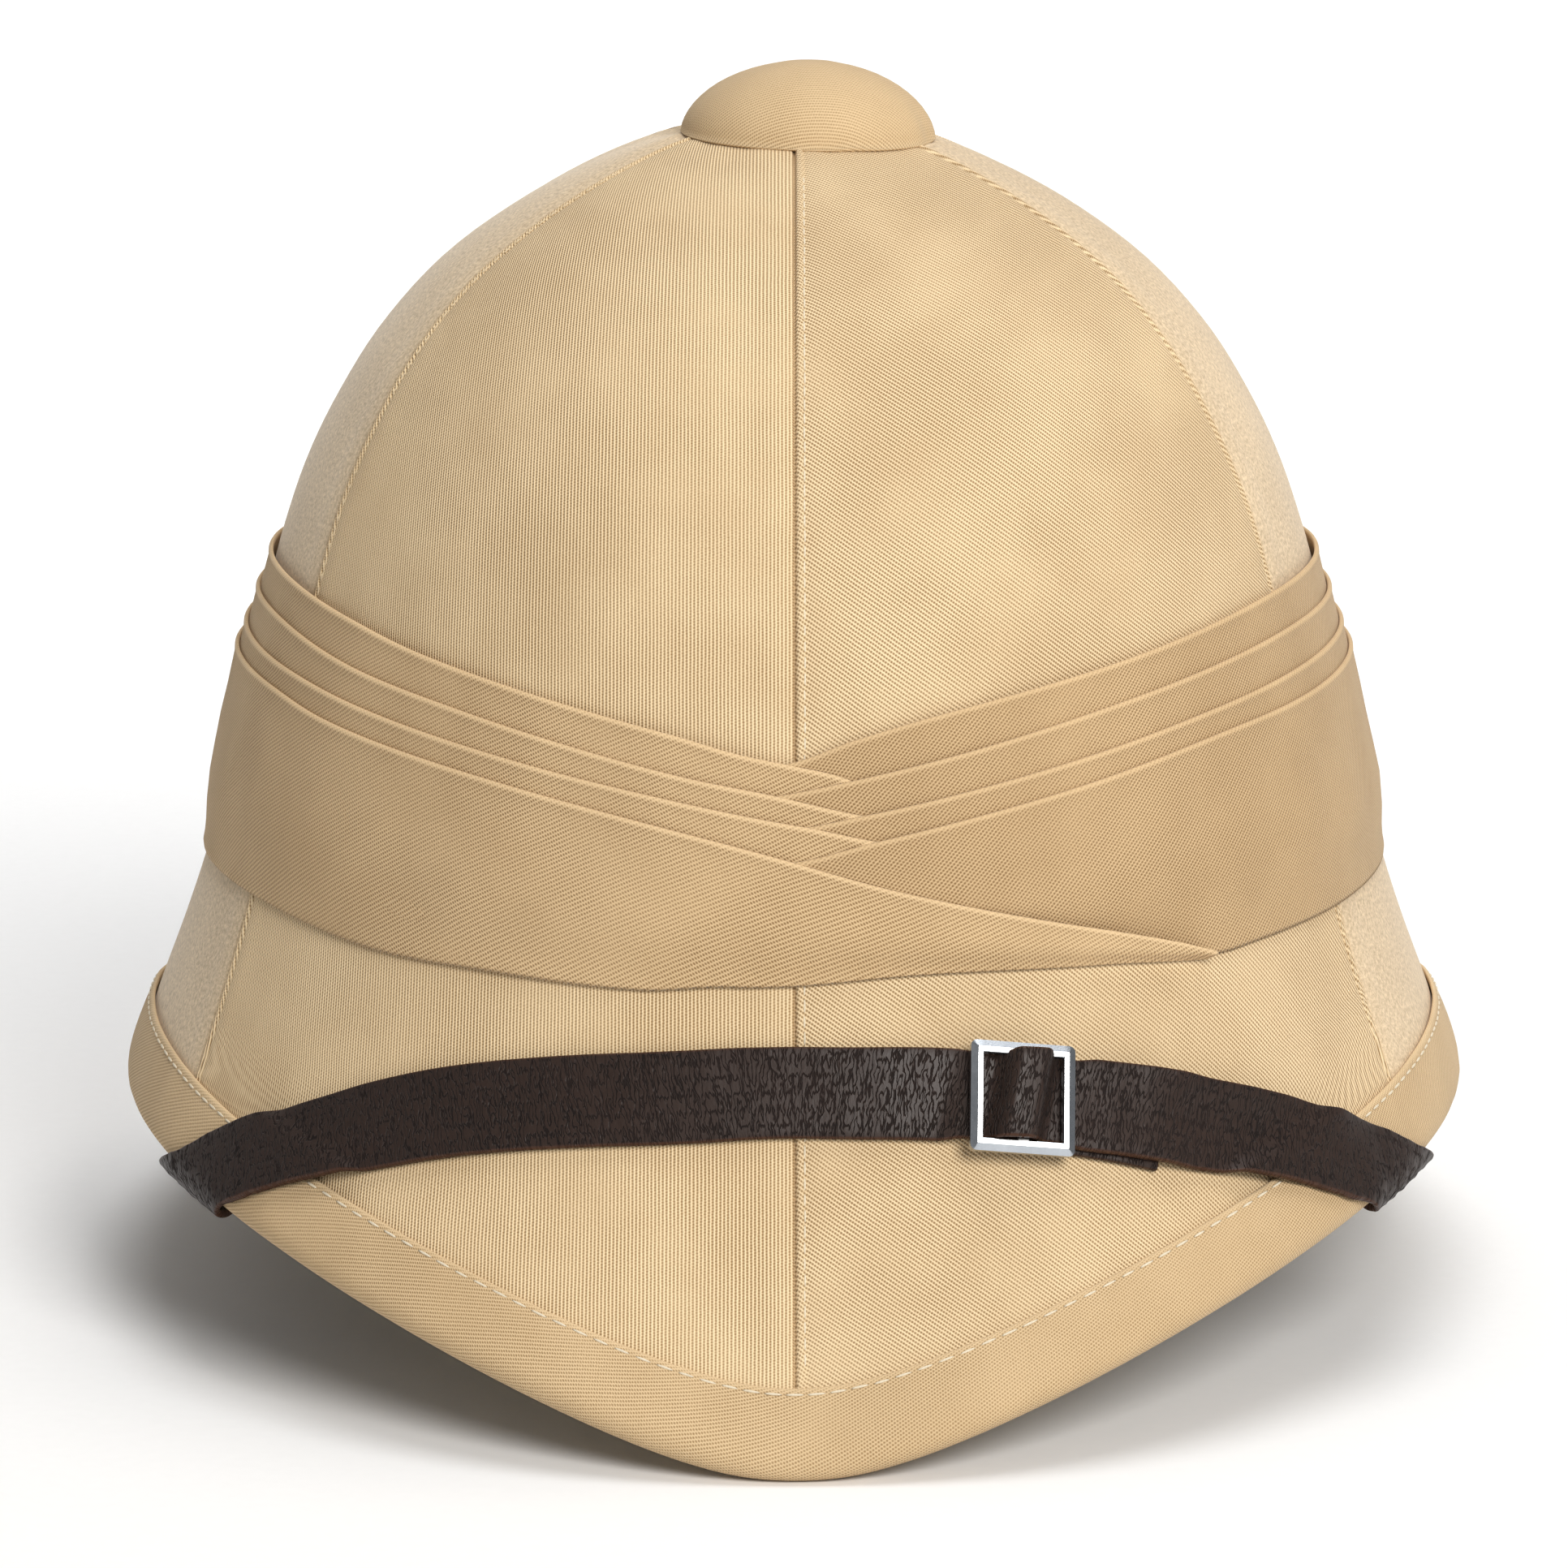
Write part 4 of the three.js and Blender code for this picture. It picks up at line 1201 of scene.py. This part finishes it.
def is_corner(edge, outer):
    """An upright edge at one of the frame's outer corners."""
    upright = abs(edge.verts[0].co.z - edge.verts[1].co.z) > 0.5 * buckle_thickness
    ends = buckle_window / 2 + 0.9 * buckle_bar
    return upright and all(abs(p.co.x) > outer - 0.01 * mm and abs(p.co.y) > ends for p in edge.verts)


def is_outline(edge):
    """A sharp edge of the frame's outline, not one of a window's."""
    middle = (edge.verts[0].co + edge.verts[1].co) / 2
    far = abs(middle.x) > buckle_width / 2 - 1.0 * mm or abs(middle.y) > buckle_window / 2 + 1.0 * mm
    return far and edge.calc_face_angle(0) > sharp_edge


def top_edges(shape):
    return [edge for edge in shape.edges if all(point.co.z > 0.9 * buckle_thickness for point in edge.verts)]


def buckle_shape():
    opening = buckle_window
    half_bar = buckle_bar / 2
    outer = buckle_width / 2
    columns = [-outer, -outer + buckle_bar, -half_bar, half_bar, outer - buckle_bar, outer]
    rows = [-opening / 2 - buckle_bar, -opening / 2, opening / 2, opening / 2 + buckle_bar]
    shape = bmesh.new()
    bmesh.ops.create_grid(shape, x_segments=5, y_segments=3, size=0.5)
    for point in shape.verts:
        column = columns[round((point.co.x + 0.5) * 5)]
        row = rows[round((point.co.y + 0.5) * 3)]
        point.co = Vector((column, row, 0))

    def in_window(centre):
        return abs(centre.y) < opening / 2 and half_bar < abs(centre.x) < outer - buckle_bar

    windows = [face for face in shape.faces if in_window(face.calc_center_median())]
    bmesh.ops.delete(shape, geom=windows, context="FACES")
    raised = bmesh.ops.extrude_face_region(shape, geom=list(shape.faces))
    tops = [item for item in raised["geom"] if isinstance(item, bmesh.types.BMVert)]
    bmesh.ops.translate(shape, verts=tops, vec=(0, 0, buckle_thickness))
    bmesh.ops.recalc_face_normals(shape, faces=shape.faces)
    corners = [edge for edge in shape.edges if is_corner(edge, outer)]
    bevel_edges(shape, corners, buckle_corner, 4)
    bevel_edges(shape, [edge for edge in top_edges(shape) if is_outline(edge)], buckle_bevel, 1)
    sides = [point for point in shape.verts if 0.2 * buckle_thickness < point.co.z < 0.9 * buckle_thickness]
    bmesh.ops.translate(shape, verts=sides, vec=(0, 0, bevel_lift))
    sharp = [edge for edge in top_edges(shape) if edge.calc_face_angle(0) > sharp_edge]
    bevel_edges(shape, sharp, window_bevel, 2)
    bmesh.ops.transform(shape, matrix=buckle_frame(), verts=shape.verts)
    return shape


buckle = as_piece("buckle_plate", buckle_shape(), nickel, ["buckle"])
# Faces that slope away from the front take the darker, bluer nickel, a painted reflection; the flat face
# keeps the plain one.
buckle.data.materials.append(nickel_bevel_painted_reflection)
buckle_out = buckle_frame().to_3x3().col[2]
for face in buckle.data.polygons:
    face.material_index = 1 if face.normal.dot(buckle_out) < 0.95 else 0
buckle.data.set_sharp_from_angle(angle=math.radians(18))

# %% [markdown]
# ## Stitches
# Sewing is what tells cloth from plaster. Each stitch is a small bead of thread that sinks into
# the cloth at both ends. A few dozen faces are enough for one, because there are hundreds, and
# each line of them is one piece.

# %% Stitch lines
random.seed(4)


def stitch_line(name, spots, finish, length=2.7 * mm, width=0.42 * mm, high=0.24 * mm):
    """One bead at each (place, direction, normal)."""
    shape = bmesh.new()
    for place, direction, normal in spots:
        bead = bmesh.ops.create_uvsphere(shape, u_segments=8, v_segments=4, radius=0.5)
        side = normal.cross(direction).normalized()
        turned = Matrix((side, normal.cross(side).normalized(), normal)).transposed().to_4x4()
        size = Matrix.Diagonal((width, length * random.uniform(0.9, 1.06), high * 2, 1))
        slip = side * random.uniform(-0.06, 0.06) * mm
        matrix = Matrix.Translation(place + slip) @ turned @ size
        bmesh.ops.transform(shape, matrix=matrix, verts=bead["verts"])
    as_piece(name, shape, finish)


stitch_height = 0.05 * mm
seam_pitch = 2.9 * mm
above_wrap = (0.11, 0.60)
below_wrap = (0.73, 0.955)


def seam_spots(angle, beside, low, high):
    """Spots down a seam, a distance beside it, between two shares."""
    spots = []
    share = low
    while share < high:
        across = (skin(angle + 0.5, share) - skin(angle, share)).length / 0.5
        here = angle + beside / across
        per_metre = 0.002 / (skin(angle, share + 0.001) - skin(angle, share - 0.001)).length
        place = over_skin(here, share, stitch_height)
        ahead = over_skin(here, share + 0.002, stitch_height)
        spots.append((place, (ahead - place).normalized(), skin_normal(here, share)))
        share += seam_pitch * per_metre
    return spots


def seam_stitches(name, angle, beside, finish, **size):
    spots = seam_spots(angle, beside, *above_wrap) + seam_spots(angle, beside, *below_wrap)
    stitch_line(name, spots, finish, **size)


seam_stitches("stitches_front", 0, 1.8 * mm, thread_light)
seam_stitches("stitches_back", 180, -1.8 * mm, thread_light)
for side, side_name in ((-1, "left"), (1, "right")):
    size = {"length": 2.1 * mm, "width": 0.32 * mm, "high": 0.18 * mm}
    seam_stitches(f"stitches_side_{side_name}", side * seam_side, side * -1.6 * mm, thread_side, **size)
    seam_stitches(f"stitches_rear_{side_name}", side * seam_back, side * 1.6 * mm, thread_side, **size)


def binding_spots(pitch, depth, height):
    spots = []
    for angle, _ in round_the_edge(pitch):
        place = by_edge(angle, height, -depth)
        ahead = by_edge(angle + 0.2, height, -depth)
        spots.append((place, (ahead - place).normalized(), skin_normal(angle, 0.97)))
    return spots[:-1]


edge_spots = binding_spots(3.9 * mm, binding_depth - 1.5 * mm, 1.35 * mm)
stitch_line("stitches_binding", edge_spots, thread_light, 3.3 * mm, 0.5 * mm)

# %% [markdown]
# ## Floor, light and camera
# The helmet stands on a pale floor that curves up behind it, so there is no horizon. Three big
# soft lamps are enough: a warm key from the front right, one above, and one that only lights the
# paper behind. The camera looks from a little over brow height with a long lens, as a catalogue does.

# %% The stage
def stage_material():
    finish = Finish("stage_paper")
    place = finish.object_place()
    tooth = finish.grain(place, 3 * mm, 2.0)
    colour = finish.mix(tooth, [0.92, 0.92, 0.92, 1], [0.95, 0.95, 0.95, 1])
    return finish.shader({"Base Color": colour, "Roughness": 0.9})


def backdrop():
    """A sheet of paper that lies flat and curves up behind the hat."""
    profile = [(-3.0, 0.0), (0.0, 0.0), (1.6, 0.0), (2.1, 0.07), (2.5, 0.3), (2.8, 0.7)]
    profile += [(2.9, 1.4), (2.9, 3.0)]
    columns = [[(Vector((x, y, z)), (x, y)) for y, z in profile] for x in (-4.0, -1.5, 1.5, 4.0)]
    shape = lofted(columns)
    bmesh.ops.recalc_face_normals(shape, faces=shape.faces)
    made = smooth_object("backdrop", shape, stage_material())


def soft_lamp(name, place, target, size, power, colour):
    lamp = bpy.data.lights.new(name, "AREA")
    lamp.shape = "DISK"
    lamp.size = size
    lamp.energy = power
    lamp.color = colour
    made = add_object(name, lamp)
    made.location = place
    made.rotation_euler = (Vector(target) - Vector(place)).to_track_quat("-Z", "Y").to_euler()


backdrop()
hat_middle = (0, 0, 0.11)
room_light = 0.24
soft_lamp("key", (0.75, -1.7, 1.15), hat_middle, 1.0, 37, (1.0, 0.98, 0.95))
soft_lamp("top", (0.2, 0.2, 1.9), hat_middle, 1.4, 17, (1.0, 1.0, 1.0))
soft_lamp("paper", (0, 1.0, 1.7), (0, 2.7, 0.6), 1.2, 26, (1.0, 1.0, 1.0))
world = bpy.data.worlds.new("studio")
world.use_nodes = True
world.node_tree.nodes["Background"].inputs["Color"].default_value = (1, 1, 1, 1)
world.node_tree.nodes["Background"].inputs["Strength"].default_value = room_light
bpy.context.scene.world = world

# %% The camera
lens_length = 168.5
look_down = 11.64
camera_place = (-1.9 * mm, -1402 * mm, 380.06 * mm)
camera_data = bpy.data.cameras.new("camera")
camera_data.lens = lens_length
camera_data.sensor_width = 36
camera_data.clip_end = 20
camera = add_object("camera", camera_data)
camera.location = camera_place
camera.rotation_euler = (math.radians(90 - look_down), 0, 0)
bpy.context.scene.camera = camera

# Plain colours: white paper stays white instead of being rolled off to grey
bpy.context.scene.view_settings.view_transform = "Standard"
